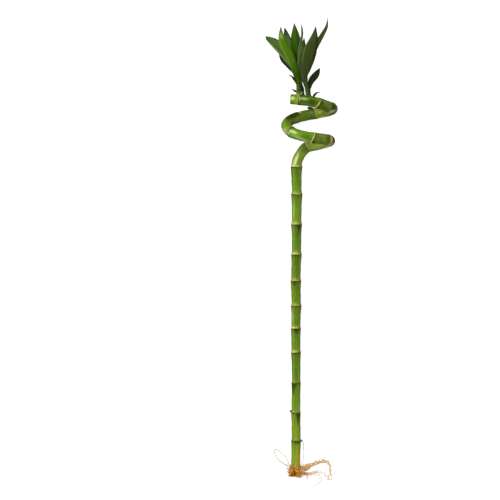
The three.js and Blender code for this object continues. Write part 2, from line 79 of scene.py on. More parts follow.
# Rings of the coil and their looks: olive tells how brownish the internode below it is, a slant
# shifts the ring along the cane on the side that it points to, and seam tells how dark its lines are
COIL_RINGS = rows(
    "turn pale rusty deep olive slant seam",
    (-450, 0.9, 0.5, -0.4, 0, (0, 0, 0), 0.6),
    (-332, 1.0, 0.8, -0.6, 0, (0, 0, 0), 1),
    (-280, 1.0, 0.0, 0.1, 0.4, (0, -2, 0), 1),
    (-218, 0.6, 0.5, 0.0, 0, (0, 2, 0), 0.25),
    (-121, 0.3, 0.8, 0.0, 0, (0, 2, 0), 0.3),
    (-71, 0.7, 0.6, 0.55, 0.3, (0, 0, 1), 0.3),
    (18, 0.5, 0.9, -0.7, 0, (0, 0, 0), 1),
    (70, 1.0, 0.0, 0.8, 0.25, (0, -2.4, 0), 1),
)
LEAFY_END = [[11.4, 562.4, 74.9], [3.4, 563.3, 73.9], [-3.2, 563.8, 72.4], [-8.8, 564.1, 72]]
LEAFY_END_RING, LEAFY_END_RING_POINT = {"pale": 0.35, "rusty": 0.3, "deep": 0.8}, 1
LEAFY_END_DEEP = -0.45

# Marks on the cane's upper side: their kind, middle, reach along and across their own direction,
# which way that direction leans from +x in degrees, strength, the heights above which and below
# which they lie, and the y from which they show
# The pale marks are painted highlights, put where the key light's highlights fall; the tan marks are tan
# seams.
CANE_MARKS = rows(
    "kind x y length width lean strength above below from",
    ("bloom", -6.2, 565.2, 3.6, 2.4, 20, 1.0, 60),
    ("bloom", 4.1, 566.4, 5.6, 1.3, 92, 0.9, 60),
    ("bloom", 10.6, 564.6, 7, 2.2, -8, 0.5, 60),
    ("bloom", -17.2, 517.8, 5, 2.4, -60, 0.6, 20),
    ("bloom", -5, 515.6, 6.4, 2.8, -22, 0.8, 50),
    ("bloom", -11.2, 514.4, 3, 1.6, 60, 0.5, 45),
    ("bloom", 31, 502.5, 5, 4, 90, 0.1, 50),
    ("bloom", 4.6, 104, 7, 2.4, 90, 0.12, 8),
    ("bloom", 6, 505.8, 15, 2, -21, 0.34, 50),
    ("bloom", -1, 473, 13, 2.6, 70, 1.0, 8, 100, 465.6),
    ("bloom", -2.8, 470, 4.4, 2.6, 90, 0.7, 8, 100, 465.6),
    ("bloom", 35.6, 546, 4, 1.8, 10, 0.5, 8),
    ("bloom", 39, 538.6, 7, 1.6, 14, 0.5, 5),
    ("bloom", 31, 494, 13, 3.4, 10, 0.26, 5, 45),
    ("bloom", 9.5, 482.5, 3, 4, -50, 0.15, 8),
    ("bloom", -3.4, 400, 13, 1.8, 90, 0.26, 8),
    ("bloom", -5, 238, 10, 1.4, 90, 0.3, 8),
    ("tan", 15, 496.4, 3.4, 1.6, 66, 0.4, 8, 40),
    ("tan", 53, 503.7, 1.9, 6, 0, 0.7, 30),
    ("tan", 48, 495, 8, 1.7, 30, 1.0, 5),
    ("tan", 51.5, 545.4, 7, 1.6, 24, 0.9, 5),
    ("tan", 5.2, 546.2, 2.4, 1.4, -10, 0.9, 5),
    ("bloom", 10.5, 557.6, 5, 1.6, -8, 0.1, 60),
    # Dark marks: dark green patches, and painted shade on the coil's right-facing bends.
    ("dark", 30.6, 558.3, 3, 3, 0, 0.35, 60),
    ("dark", -4.2, 541, 13, 5, 26, 1.0, 12),
    ("dark", 13.5, 509.6, 8, 2.2, -14, 0.35, 50),
    ("dark", 55.5, 552, 3.4, 6, 0, 0.8, 20),
    ("dark", 23.5, 559.6, 8, 4, -12, 0.6, 60),
    ("dark", 47.5, 505.4, 3, 6.5, 0, 0.6, 40),
)
MARK_REACH = 1.4

# Dark green patches that hang below some rings: the ring's height, the patch's middle across the
# cane, its half-width at the ring, and its length
RING_PATCHES = rows(
    "y x half_width length",
    (222.8, 0.6, 5.2, 9),
    (54, 1.4, 8.0, 4),
    (140.7, -3.8, 4.2, 19),
    (96, 3.2, 3.6, 20),
    (378.8, 4.2, 3.4, 16),
    (294, -2.6, 3.0, 9),
)
PATCH_GAP, PATCH_TAPER, PATCH_REACH, PATCH_EDGE, PATCH_FADE = 1.2, 0.7, 1.1, 0.5, 0.5

# Shape of a ring and of the internode between two rings
RING_FOOT_SHARE, WAIST_SHARE, NARROWING, WIDENING = 0.962, 0.22, 3, 1.4
CUT_EDGE, CUT_ROUNDING, CUT_CURVE, CUT_START = 1.2, 0.07, 2.5, 0.3
FINE_STEP, WIDE_STEP, FINE_REACH = 0.28, 1.5, 3.4
FAR_FROM_RING = 50.0
RING_PROFILE = [
    (0.0, 0.5), (0.17, 0.5), (0.25, 0.3), (0.31, 0.62), (0.37, 0.97), (0.5, 1.0), (0.63, 0.94),
    (0.7, 0.62), (0.79, 0.5), (1.0, 0.5),
]

# Buds: where each starts, which way it points, its length and radius, and how dark it is
SIDE_BUDS = rows(
    "name at lean length radius dark",
    ("side_bud_left", (-6.9, 97.2, 8.5), (-1, 0.8, 0.2), 3.2, 1.6, 0.5),
    ("side_bud_right", (7, 53.6, 7.6), (1, 0.3, 0), 3, 1.4, 0.5),
    ("side_bud_in_coil", (25, 550.9, 9.5), (-1, 0.32, 0.1), 8.8, 2.7, 0.9),
)
BUD_STEPS, BUD_TIP, BUD_BLUNTNESS = 26, 0.05, 1.8
BUD_SCALES, BUD_SCALE_LIFT, BUD_SCALE_GAP = 3, 0.07, 0.004

# Stems of the two leafy shoots, from inside the cane up to their growing tips
STEMS = rows(
    "node diameters path",
    ("shoot_stem_left", (8.8, 8, 7.4, 6.4, 3.4), ((4.2, 565.5, 72.8), (4.1, 572, 74.3), (3.5, 586, 77),
     (1.8, 604, 80), (1.8, 618, 82))),
    ("shoot_stem_right", (8.4, 7.4, 6.8, 6, 3.4), ((18.6, 563, 75), (17.8, 570, 74.6),
     (15.2, 584, 76.2), (12.7, 598, 78.6), (11.4, 609, 80))),
)
SHEATH_EDGES = np.array([5.5, 10.5, 15, 20.5, 26, 31])
STEM_STEPS = 150

# How the tube nodes grow each kind of piece; heights, reaches and sizes in metres
GROWTH_SIZES = (
    "Sides", "Ring Height", "Ring Reach", "Ring Waver", "Lump Height", "Lump Size", "Lump Stretch",
    "Seed",
)
CANE_GROWTH = (56, 0.00018, 0.0032, 0.00035, 0.00035, 0.011, 0.3, 3.0)
BUD_GROWTH = (20, 0.00012, 0.002, 0.0003, 0.0002, 0.002, 0.5, 5.0)
STEM_GROWTH = (36, 0.00014, 0.0022, 0.0014, 0.0003, 0.004, 0.2)
STEM_SEED = 7.0
ROOT_GROWTH = (8, 0.0, 0.003, 0.0004, 0.0004, 0.0018, 0.6, 9.0)
# What the points of a line keep besides their slant
LINE_VALUES = (
    "thickness", "along", "share", "tone", "ring_gap", "ring_number", "ring_above", "below_ring",
    "internode", "pale", "rusty", "seam", "deep", "olive",
)

# Leaves: stem, colouring, full width, how far along the leaf is widest, width at the base, roll
# about the midrib from base to tip, depth of the fold along the midrib (positive when the hollow
# side faces up), bluntness of the tip, and the path of the midrib from the stem to the tip
LEAVES = rows(
    "node stem colouring width widest base roll fold point path",
    ("leaf_left_front", "shoot_stem_left", "fresh", 13.6, 0.62, 6.6, (0, 4, -6), -0.2, 1,
     ((2.6, 588, 80), (-0.4, 598, 84.5), (-3.8, 612, 91), (-12.6, 633, 99), (-20, 647, 102.6),
     (-22.8, 658, 102.4), (-23.4, 672, 99.6))),
    ("leaf_left_far", "shoot_stem_left", "bluish", 24.4, 0.62, 5, (-10, 46, 46), 0.42, 0.78,
     ((1.6, 594, 77.5), (-1.6, 606, 77), (-8, 617.4, 75), (-21.2, 633.2, 69), (-33.4, 646, 59),
     (-45.6, 659, 44))),
    ("leaf_left_under", "shoot_stem_left", "deep", 13.4, 0.55, 4.6, (0, 0, 0), 0.2, 1,
     ((1.8, 588, 75.4), (0.2, 602, 69.4), (-9.8, 616.6, 61), (-18.8, 627.2, 54), (-24.8, 647, 43))),
    ("leaf_left_back", "shoot_stem_left", "cool", 13, 0.6, 6, (0, 0, 8), 0.18, 0.8, ((2, 600, 77.2),
     (-0.6, 612, 71), (-6, 632, 63), (-12.4, 651, 56), (-17.4, 672, 50))),
    ("leaf_middle", "shoot_stem_left", "olive", 16.2, 0.52, 5.6, (0, 6, 0), 0.2, 1.05,
     ((1.6, 606, 79.4), (1.8, 616, 76.8), (1, 632, 75.6), (-0.9, 650, 75), (-3.2, 678.5, 69))),
    ("leaf_edge_on", "shoot_stem_left", "faded", 8, 0.5, 4.6, (20, 62, 40), -0.15, 0.8,
     ((2.8, 603, 81.4), (4.2, 614, 82.4), (4.4, 630, 84.6), (7.4, 650, 86.6), (8.8, 662, 86.6),
     (7.2, 676.5, 84.4))),
    ("leaf_right_inner", "shoot_stem_right", "greyish", 12.4, 0.56, 7.6, (-50, -10, 0), -0.2, 0.9,
     ((9.4, 583, 78.2), (7.2, 596, 81.2), (6.4, 614, 88.6), (9.4, 634, 94), (11.4, 655, 94))),
    ("leaf_right_front", "shoot_stem_right", "dark_olive", 19.6, 0.5, 7.2, (6, 4, 0), -0.2, 1.15,
     ((13, 592, 79.8), (13.4, 601, 85.2), (16.2, 616, 93.6), (20.8, 636, 102), (26, 654, 106),
     (28.8, 673, 104))),
    ("leaf_right_long", "shoot_stem_right", "dark_green", 10, 0.58, 4, (0, 36, 42), 0.25, 1,
     ((12.6, 598, 76.6), (15, 610, 72), (20, 624.6, 69), (28.8, 645, 63.6), (39.6, 663, 58),
     (45.2, 674, 54.6), (46.6, 687, 52))),
    ("leaf_right_small", "shoot_stem_right", "deep", 10.2, 0.62, 4.6, (20, 10, 10), 0.2, 0.85,
     ((18.4, 575, 72.6), (19.8, 585, 70.6), (22.9, 593, 67), (29.8, 601.6, 63), (35.2, 611, 60))),
    ("leaf_sheath_between", None, "deep", 4.6, 0.35, 4, (30, 40, 50), 0.3, 1, ((10.4, 566, 71.5),
     (10, 573, 70.6), (8.6, 583, 70), (6.8, 594, 70.6))),
    ("scale_leaf_right", None, "deep", 3.4, 0.4, 2.8, (20, 20, 20), 0.25, 1, ((24.6, 562, 77),
     (25.6, 568.4, 77.6), (29.6, 573, 78.4), (36, 574.8, 78.6))),
    ("scale_leaf_left_high", None, "deep", 4.4, 0.4, 3, (20, 30, 30), 0.2, 1, ((1.4, 586, 77.6),
     (-2.6, 592.6, 80.4), (-7, 597.6, 82), (-12, 600.4, 82.4))),
    ("scale_leaf_left_low", None, "deep", 3.4, 0.4, 2.6, (20, 30, 30), 0.2, 1, ((2.2, 574, 75.4),
     (-1.6, 575.8, 77.6), (-4.6, 577.6, 79), (-7.4, 580.2, 79.6))),
)
LEAF_SEED = 100
BLADE_STEPS, BLADE_ACROSS, BLADE_EASING = 72, 10, 0.35
BLADE_THICKNESS, MARGIN_THICKNESS = 0.9, 0.3
BLADE_RIPPLE, BLADE_RIPPLES = 0.45, 2.5
MARGIN_WAVE, MARGIN_WAVES, MORE_WAVES, BROAD_LEAF = 0.16, 9, 1.4, 12
CLASP_SHARE, CLASP_FOLD = 0.14, 0.85
STEM_HUG_SHARE, STEM_HUG_ANGLE, STEM_CLEARANCE, CLASP_THICKNESS = 0.17, 105, 0.45, 0.7
MIDRIB_WIDTH, MIDRIB_SINK, MIDRIB_KEEL = 0.07, 0.22, 0.35
TIP_HALF_WIDTH = 0.16

# Roots: the mat of fine roots round the cut end, and the bunches: how many strands, how far they
# spread, their diameter, whether they are single fine roots, how many thinner roots run beside
# each, how slim and curly each is, how thick its tip is, and its path
ROOT_MAT = {"from": 0.8, "to": 15.6, "radius": 8.4, "lump": 0.8, "sides": 14, "steps": 5}
ROOT_BUNCHES = rows(
    "strands spread diameter fine companions slimness curl tip path",
    (2, 2, 1.4, False, 1, 1.0, 1.1, 0.85, ((6, 10.4, 7.4), (12, 12.6, 5.6), (18.6, 15.4, 4),
     (30, 20, 2.6), (40.2, 23.2, 1.8), (46.6, 20.5, 1.5), (51, 8.4, 1.4), (51, -2.4, 1.2),
     (46.8, -6.2, 1.1))),
    (4, 3, 1.5, False, 1, 0.66, 1.1, 0.55, ((6, 10.4, 7.4), (12, 12.6, 5.6), (18.6, 15.4, 4),
     (30, 20, 2.6), (40.2, 23.2, 1.8), (47.4, 21.6, 1.5))),
    (7, 4.2, 1.6, False, 0, 0.78, 2.2, 0.55, ((6, 8, 7), (11, 11, 5.4), (16, 13.4, 3.6),
     (22, 16.4, 2.6))),
    (3, 2.2, 1.3, False, 1, 0.66, 1.1, 0.55, ((6, 4.4, 6), (12, 4, 4), (18.6, 3.2, 3), (30, 6.9, 2),
     (38, 4.6, 1.4), (48.4, -1.6, 1.1))),
    (1, 0.4, 0.88, True, 0, 1.3, 0.25, 0.75, ((-6, 13.8, 7), (-12, 16.4, 4), (-23.6, 22.2, 1.6),
     (-31.2, 31.4, 1.1), (-32.6, 41, 1), (-28.2, 39.4, 1), (-19.7, 32.9, 1.1), (-13.6, 26.4, 1.6),
     (-11.6, 20, 3), (-6, 14, 6))),
    (1, 0.8, 0.8, True, 0, 1.3, 0.25, 0.55, ((7, 12.4, 8), (20, 17.4, 4), (37, 22.4, 2),
     (48, 23.6, 1.3), (55, 18, 1.1), (55.8, 10.6, 1))),
    (1, 0.2, 1.8, False, 0, 1.1, 1.1, 0.55, ((6, 3, 4), (13, 3.4, 2.6), (17, 1.6, 1.6),
     (16.6, -3.6, 1.1))),
    (2, 1.6, 0.75, True, 0, 1.3, 0.25, 0.55, ((7, 4, 5), (20, 5.4, 2.4), (32, 3, 1.2), (37, -5, 1),
     (30, -12.4, 0.9), (22.6, -15, 0.9))),
    (1, 0, 0.75, True, 0, 1.3, 0.25, 0.55, ((9.4, 53.6, 7.4), (11.2, 48.2, 5), (11.8, 34.4, 1.6),
     (10.4, 23.7, 1.4), (7.4, 13.6, 5))),
)
# Short roots that curl out of the mat, roots that wind over it, the packed inside of it, and light
# roots that climb from it up the cane
CURLED_ROOTS = {
    "count": 26, "reach": 7.5, "diameter": 1.4, "rise": 5, "swing": 0.7, "between": 0.382,
    "flatness": 0.7, "slimness": 0.85, "companions": 2, "curl": 1.1, "tip": 0.55, "fine": False,
}
MAT_STRANDS = {
    "count": 120, "diameter": 1.25, "swing": 0.8, "climb": 6, "between": 0.618, "curl": 0.5,
    "inner": -1.2, "outer": 1.5, "over": 2.2, "under": 2,
}
MAT_CORE = {"top": 9.5, "rows": 24, "sides": 70, "depth": 1.7, "tone": 0.4, "edge": 0.14}
MAT_TOP_DIP, MAT_LEFT_LIFT, MAT_TOP_TAPER = 6.0, 2.2, 0.7
CLIMBING_ROOTS = {
    "count": 8, "diameter": 0.8, "from": 6, "to": 19.5, "clearance": 0.4, "swing": 0.16,
}
ROOT_CURL, ROOT_CROSS_WAVE, ROOT_REST = 1.1, 0.83, 0.4
ROOT_TIP, ROOT_STEP, ROOT_FINENESS = 0.55, 1.1, 12
COMPANION_SPREAD, COMPANION_SHARE = 4.4, 0.75
ROOTLET_GAP, ROOTLET_LENGTH, ROOTLET_DIAMETER = 5.0, 4.0, 0.3
ROOT_SEED, FINE_ROOT_SEED = 11, 29

# Camera straight above the picture's middle, at the distance that gives 1.5 mm to a pixel
CAMERA_PLACE = (-0.077, 0.00375, 8.0)
CANE_TOP_HEIGHT = 0.008
PIXEL_SIZE, PICTURE_WIDTH, SENSOR_WIDTH = 0.0015, 500, 36.0

# Light: the room's own brightness, softboxes with their places, watts, widths in metres and whether
# they show as highlights, and the share of a colour as seen that its base colour has in this light
ROOM_STRENGTH = 0.38
SOFTBOXES = rows(
    "name place power size glossy",
    ("overhead_softbox", (-0.2, 0.3, 5.0), 175.0, 4.0, False),
    ("key_softbox", (-1.7, 2.0, 2.6), 88.0, 1.4, True),
    ("fill_softbox", (1.8, -0.5, 2.0), 5.0, 1.2, False),
)
LIT_PLACE = (0.0, 0.05, 0.0)
STUDIO_SHARE = 0.7
WHITE = (1.0, 1.0, 1.0, 1.0)
FLOOR_SHADE, FLOOR_TINT = (0.4, 0.4, 0.4, 1.0), (0.42, 0.42, 0.42, 1.0)
FLOOR_GLOW, FLOOR_HALF_WIDTH = 0.75, 6.0

# Greens of the cane from the foot of an internode to the ring above it: the usual, the deep and
# the yellow one
CANE_GREENS = (
    {0.0: (112, 134, 22), 0.1: (108, 146, 20), 0.45: (100, 140, 12), 0.85: (94, 128, 8),
     0.965: (84, 112, 6), 1.0: (54, 70, 0)},
    {0.0: (84, 108, 8), 0.15: (72, 104, 6), 0.6: (58, 90, 2), 0.9: (52, 78, 2), 1.0: (38, 50, 0)},
    {0.0: (152, 160, 28), 0.3: (148, 168, 30), 0.7: (130, 158, 20), 0.96: (116, 142, 12),
     1.0: (92, 100, 2)},
)
SHOOT_GREENS = {0.0: (64, 92, 14), 0.5: (54, 82, 8), 1.0: (40, 64, 4)}
# Grain of the cane: how often it comes in a metre across and along, its detail and roughness, the
# noise at which it starts and is full, its greatest share, and its colour
GRAIN_FIELDS = "name across along detail roughness start full share tone"
CANE_GRAIN = rows(
    GRAIN_FIELDS,
    ("clouds", 62, 62, 3.0, 0.5, 0.48, 0.8, 0.45, (136, 158, 20)),
    ("dark_clouds", 90, 34, 2.0, 0.5, 0.52, 0.76, 0.55, (50, 82, 2)),
    ("streaks", 900, 42, 4.0, 0.6, 0.4, 0.75, 0.4, (50, 78, 2)),
    ("light_streaks", 420, 14, 3.0, 0.5, 0.52, 0.78, 0.5, (148, 184, 30)),
)
CANE_SPECKS = rows(
    GRAIN_FIELDS,
    ("specks", 700, 380, 2.0, 0.5, 0.7, 0.76, 0.45, (176, 172, 80)),
    ("dots", 1100, 500, 1.0, 0.5, 0.7, 0.75, 0.45, (56, 44, 8)),
)
# Where the parts of a ring start, are full, are still full and end, in metres above its edge
FLARE_SPAN = (0.0003, 0.0008, 0.0012, 0.006)
BAND_SPAN = (-0.0011, -0.0007, 0.0004, 0.0015)
LOW_LINE_SPAN = (-0.0028, -0.0016, -0.001, -0.0006)
SECOND_LINE_SPAN = (-0.0062, -0.005, -0.0046, -0.0036)
SHEATH_EDGE_SPAN = (-0.0006, -0.0002, 0.0001, 0.0005)
SHEATH_LINE_SPAN = (-0.0014, -0.0009, -0.0006, -0.0003)
# How far apart the rings lie in the noises of their patches and their edges
PATCH_NOISE_STEP, WAVER_NOISE_STEP = 2.7, 5.3

# Colours of the leaves as seen. Left and right are the colours of the two margins, and how far
# from the midrib each begins; a darker margin is painted shade on that half of the leaf, and a lighter
# one painted light. Rib tells how clearly the midrib shows, and tip_from where the tip's colour
# begins. A line is a pale stripe beside one margin, and a patch a pale place near the tip.
LEAF_COLOURINGS = rows(
    "name blade deep vein base left left_from right right_from tip tip_from rib line patch",
    ("fresh", (84, 122, 8), (64, 100, 2), (120, 154, 50), (44, 72, 2), (104, 138, 38), 0.5,
     (62, 104, 8), 0.55, (92, 94, 78), 0.87, 0.25, None, (176, 192, 128)),
    ("bluish", (84, 118, 44), (64, 98, 32), (116, 148, 72), (48, 78, 14), (84, 104, 56), 0.9,
     (44, 82, 34), 0.7, (84, 128, 56), 0.94, 0.3, (176, 196, 138)),
    ("deep", (46, 60, 36), (30, 40, 22), (62, 78, 46), (28, 42, 12), (22, 30, 12), 0.7, (18, 24, 8),
     0.7, (44, 48, 34), 0.9, 0.2),
    ("cool", (82, 112, 56), (62, 90, 42), (116, 150, 94), (128, 158, 78), (84, 122, 62), 0.5,
     (24, 38, 22), 0.6, (18, 24, 14), 0.7, 0.15),
    ("olive", (66, 98, 0), (52, 84, 0), (88, 118, 22), (22, 46, 0), (66, 90, 2), 0.8, (34, 60, 0),
     0.12, (92, 112, 34), 0.94, 0.15),
    ("greyish", (64, 80, 36), (48, 62, 28), (88, 106, 60), (64, 76, 40), (92, 112, 66), 0.6,
     (52, 64, 36), 0.6, (36, 40, 28), 0.76, 0.1),
    ("faded", (86, 122, 42), (66, 98, 30), (108, 138, 74), (72, 104, 34), (104, 136, 62), 0.5,
     (70, 96, 36), 0.7, (132, 124, 118), 0.62, 0.1),
    ("dark_olive", (62, 76, 28), (48, 62, 18), (86, 102, 54), (60, 74, 36), (98, 120, 62), 0.78,
     (30, 40, 8), 0.62, (40, 30, 32), 0.88, 0.12),
    ("dark_green", (76, 98, 40), (60, 80, 32), (112, 130, 78), (56, 78, 30), (116, 136, 84), 0.8,
     (36, 50, 14), 0.75, (62, 66, 52), 0.9, 0.15),
)
LINE_PLACE, LINE_WIDTH = -0.6, 0.3
PATCH_PLACE, PATCH_LENGTH = 0.84, 0.07
VEIN_WAVES = 58.0
# Tones of the roots from the darkest to the lightest
STRAND_TONES = ((66, 24, 0), (212, 104, 0), (255, 156, 24), (255, 210, 96))
# Tones of the packed inside of the mat, dark as painted shade between the strands.
PACKED_TONES = ((44, 16, 0), (84, 40, 6), (116, 62, 14))


# Small tools


def seen(red, green, blue):
    """The base colour that looks like a display colour, 0 to 255, in the bright studio."""
    shares = [value / 255 for value in (red, green, blue)]
    linear = [s / 12.92 if s <= 0.04045 else ((s + 0.055) / 1.055) ** 2.4 for s in shares]
    return (*(value * STUDIO_SHARE for value in linear), 1.0)


def mix(low, high, share):
    """The value that lies at some share of the way from low to high."""
    return low + (high - low) * share


def smooth_share(value):
    """A share that starts and ends gently, held between 0 and 1."""
    value = np.clip(value, 0, 1)
    return value * value * (3 - 2 * value)


def placed(points):
    """Stalk places in millimetres as frame places in metres."""
    return (np.asarray(points, float) + STALK_PLACE) * MM


def eased(start, end, leaving, arriving, share):
    """The smooth way from one value to the next, with its slopes at both ends."""
    return (start + leaving * share + (3 * (end - start) - 2 * leaving - arriving) * share**2
            + (2 * (start - end) + leaving + arriving) * share**3)


class Line:
    """The smooth line through some points, measured along itself."""

    def __init__(self, points, fineness=24):
        points = np.asarray(points, float)
        padded = np.vstack([2 * points[0] - points[1], points, 2 * points[-1] - points[-2]])
        shares = (np.arange(fineness) / fineness)[:, None]
        samples = []
        for first, start, end, after in zip(padded, padded[1:], padded[2:], padded[3:]):
            steps = (start - first, end - start, after - end)
            before, gap, beyond = (max(np.linalg.norm(step), 1e-6) ** 0.5 for step in steps)
            leaving = (start - first) / before - (end - first) / (before + gap) + (end - start) / gap
            arriving = (end - start) / gap - (after - start) / (gap + beyond) + (after - end) / beyond
            samples.append(eased(start, end, leaving * gap, arriving * gap, shares))
        self.samples = np.vstack([*samples, points[-1:]])
        self.places = np.arange(len(self.samples)) / fineness
        gaps = np.linalg.norm(np.diff(self.samples, axis=0), axis=1)
        self.lengths = np.concatenate([[0], np.cumsum(gaps)])
        self.length = self.lengths[-1]

    def at(self, lengths):
        """The line's points at some lengths along it."""
        return np.stack([np.interp(lengths, self.lengths, column) for column in self.samples.T], axis=-1)

    def length_at(self, point):
        """How long the line is up to one of the points that it was given, or between two."""
        return float(np.interp(point, self.places, self.lengths))


class Draws:
    """Seeded draws, the same each time."""

    def __init__(self, seed):
        self.state = seed

    def between(self, low, high):
        self.state = (self.state * 1664525 + 1013904223) % 4294967296
        return mix(low, high, self.state / 4294967296)

    def sway(self, reach):
        """A draw to either side of zero."""
        return self.between(-reach, reach)


class Nodes:
    """Puts nodes into a node tree and joins them."""

    def __init__(self, tree):
        self.tree = tree

    def add(self, kind, inputs=None, **settings):
        node = self.tree.nodes.new(kind)
        for name, value in settings.items():
            setattr(node, name, value)
        for name, value in (inputs or {}).items():
            self.feed(node.inputs[name], value)
        return node

    def feed(self, socket, value):
        if isinstance(value, bpy.types.NodeSocket):
            self.tree.links.new(value, socket)
        else:
            socket.default_value = value

    def math(self, operation, *values):
        return self.add("ShaderNodeMath", dict(enumerate(values)), operation=operation).outputs[0]

    def product(self, first, *others):
        for other in others:
            first = self.math("MULTIPLY", first, other)
        return first

    def centred(self, value, reach):
        """A noise that goes both ways from zero."""
        return self.product(self.math("SUBTRACT", value, 0.5), reach)

    def vector(self, operation, *values, output="Vector"):
        names = (0, "Scale" if operation == "SCALE" else 1)
        node = self.add("ShaderNodeVectorMath", dict(zip(names, values)), operation=operation)
        return node.outputs[output]

    def xyz(self, **parts):
        return self.add("ShaderNodeCombineXYZ", parts).outputs["Vector"]

    def spread(self, *values):
        """The first value, eased from the range of the next two to that of the last two, or 0 to 1."""
        inputs = dict(zip(("Value", "From Min", "From Max", "To Min", "To Max"), values))
        return self.add("ShaderNodeMapRange", inputs, interpolation_type="SMOOTHSTEP").outputs["Result"]

    def window(self, value, start, full, still, end):
        """A share that rises from start to full and falls again from still to end."""
        return self.product(self.spread(value, start, full), self.spread(value, end, still))

    def noise(self, place, scale, detail, roughness=0.5):
        """Noise of one scale, or of three that stretch it."""
        if isinstance(scale, tuple):
            place, scale = self.vector("MULTIPLY", place, scale), 1.0
        inputs = {"Vector": place, "Scale": scale, "Detail": detail, "Roughness": roughness}
        return self.add("ShaderNodeTexNoise", inputs).outputs["Fac"]

    def ramp(self, value, stops):
        node = self.add("ShaderNodeValToRGB", {"Fac": value})
        elements = node.color_ramp.elements
        while len(elements) < len(stops):
            elements.new(0.5)
        for element, (place, tone) in zip(elements, stops.items()):
            element.position, element.color = place, seen(*tone)
        return node.outputs["Color"]

    def blend(self, share, first, second):
        """A share of the second colour over the first. Plain numbers are colours as seen."""
        node = self.add("ShaderNodeMix", data_type="RGBA")
        for name, value in (("Factor_Float", share), ("A_Color", first), ("B_Color", second)):
            value = seen(*value) if isinstance(value, tuple) and len(value) == 3 else value
            self.feed(next(s for s in node.inputs if s.identifier == name), value)
        return next(s for s in node.outputs if s.identifier == "Result_Color")

    def tint(self, colour, tone, *shares):
        """A colour with a tone over it, as strong as the shares multiplied."""
        return self.blend(self.product(*shares), colour, tone)

    def kept(self, name, kind="Fac"):
        """What the piece's mesh keeps under a name."""
        return self.add("ShaderNodeAttribute", attribute_name=name).outputs[kind]

    def sideways(self):
        """How far the surface faces to the right."""
        return self.add("ShaderNodeSeparateXYZ", {"Vector": self.kept("facing", "Vector")}).outputs["X"]


class Finish(Nodes):
    """A fresh material and its nodes."""

    def __init__(self, name):
        self.material = bpy.data.materials.new(name)
        self.material.use_nodes = True
        super().__init__(self.material.node_tree)
        self.shader = self.tree.nodes["Principled BSDF"]

    def done(self, colour, roughness, specular):
        """The material, once it has its colour and its gloss."""
        self.feed(self.shader.inputs["Base Color"], colour)
        self.feed(self.shader.inputs["Roughness"], roughness)
        self.shader.inputs["Specular IOR Level"].default_value = specular
        return self.material

    def relief(self, height, strength, distance):
        """Fine bumps, at most so far out."""
        bump = self.add("ShaderNodeBump", {"Height": height, "Strength": strength, "Distance": distance})
        self.feed(self.shader.inputs["Normal"], bump.outputs["Normal"])


def linked(name, data):
    """A new object that is in the scene."""
    thing = bpy.data.objects.new(name, data)
    bpy.context.scene.collection.objects.link(thing)
    return thing


def keep(mesh, name, values, kind="FLOAT"):
    """Stores a value for each point of a mesh."""
    values = np.asarray(values, np.float32).ravel()
    field = "vector" if kind == "FLOAT_VECTOR" else "value"
    mesh.attributes.new(name, kind, "POINT").data.foreach_set(field, values)


def add_piece(name, mesh, node=None, finish=None):
    """A piece on the root body, which may replace a node of the frame."""
    piece = linked(name, mesh)
    if finish is not None:
        mesh.materials.append(finish)
    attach(piece, "root")
    if node is not None:
        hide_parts(node)


# Finishes


def grained(finish, place, colour, grain):
    """A colour with some grain on it, and the noises of that grain by name."""
    noises = {}
    for kind in grain:
        scale = (kind["across"], kind["across"], kind["along"])
        noise = noises[kind["name"]] = finish.noise(place, scale, kind["detail"], kind["roughness"])
        share = finish.spread(noise, kind["start"], kind["full"], 0.0, kind["share"])
        colour = finish.blend(share, colour, kind["tone"])
    return colour, noises


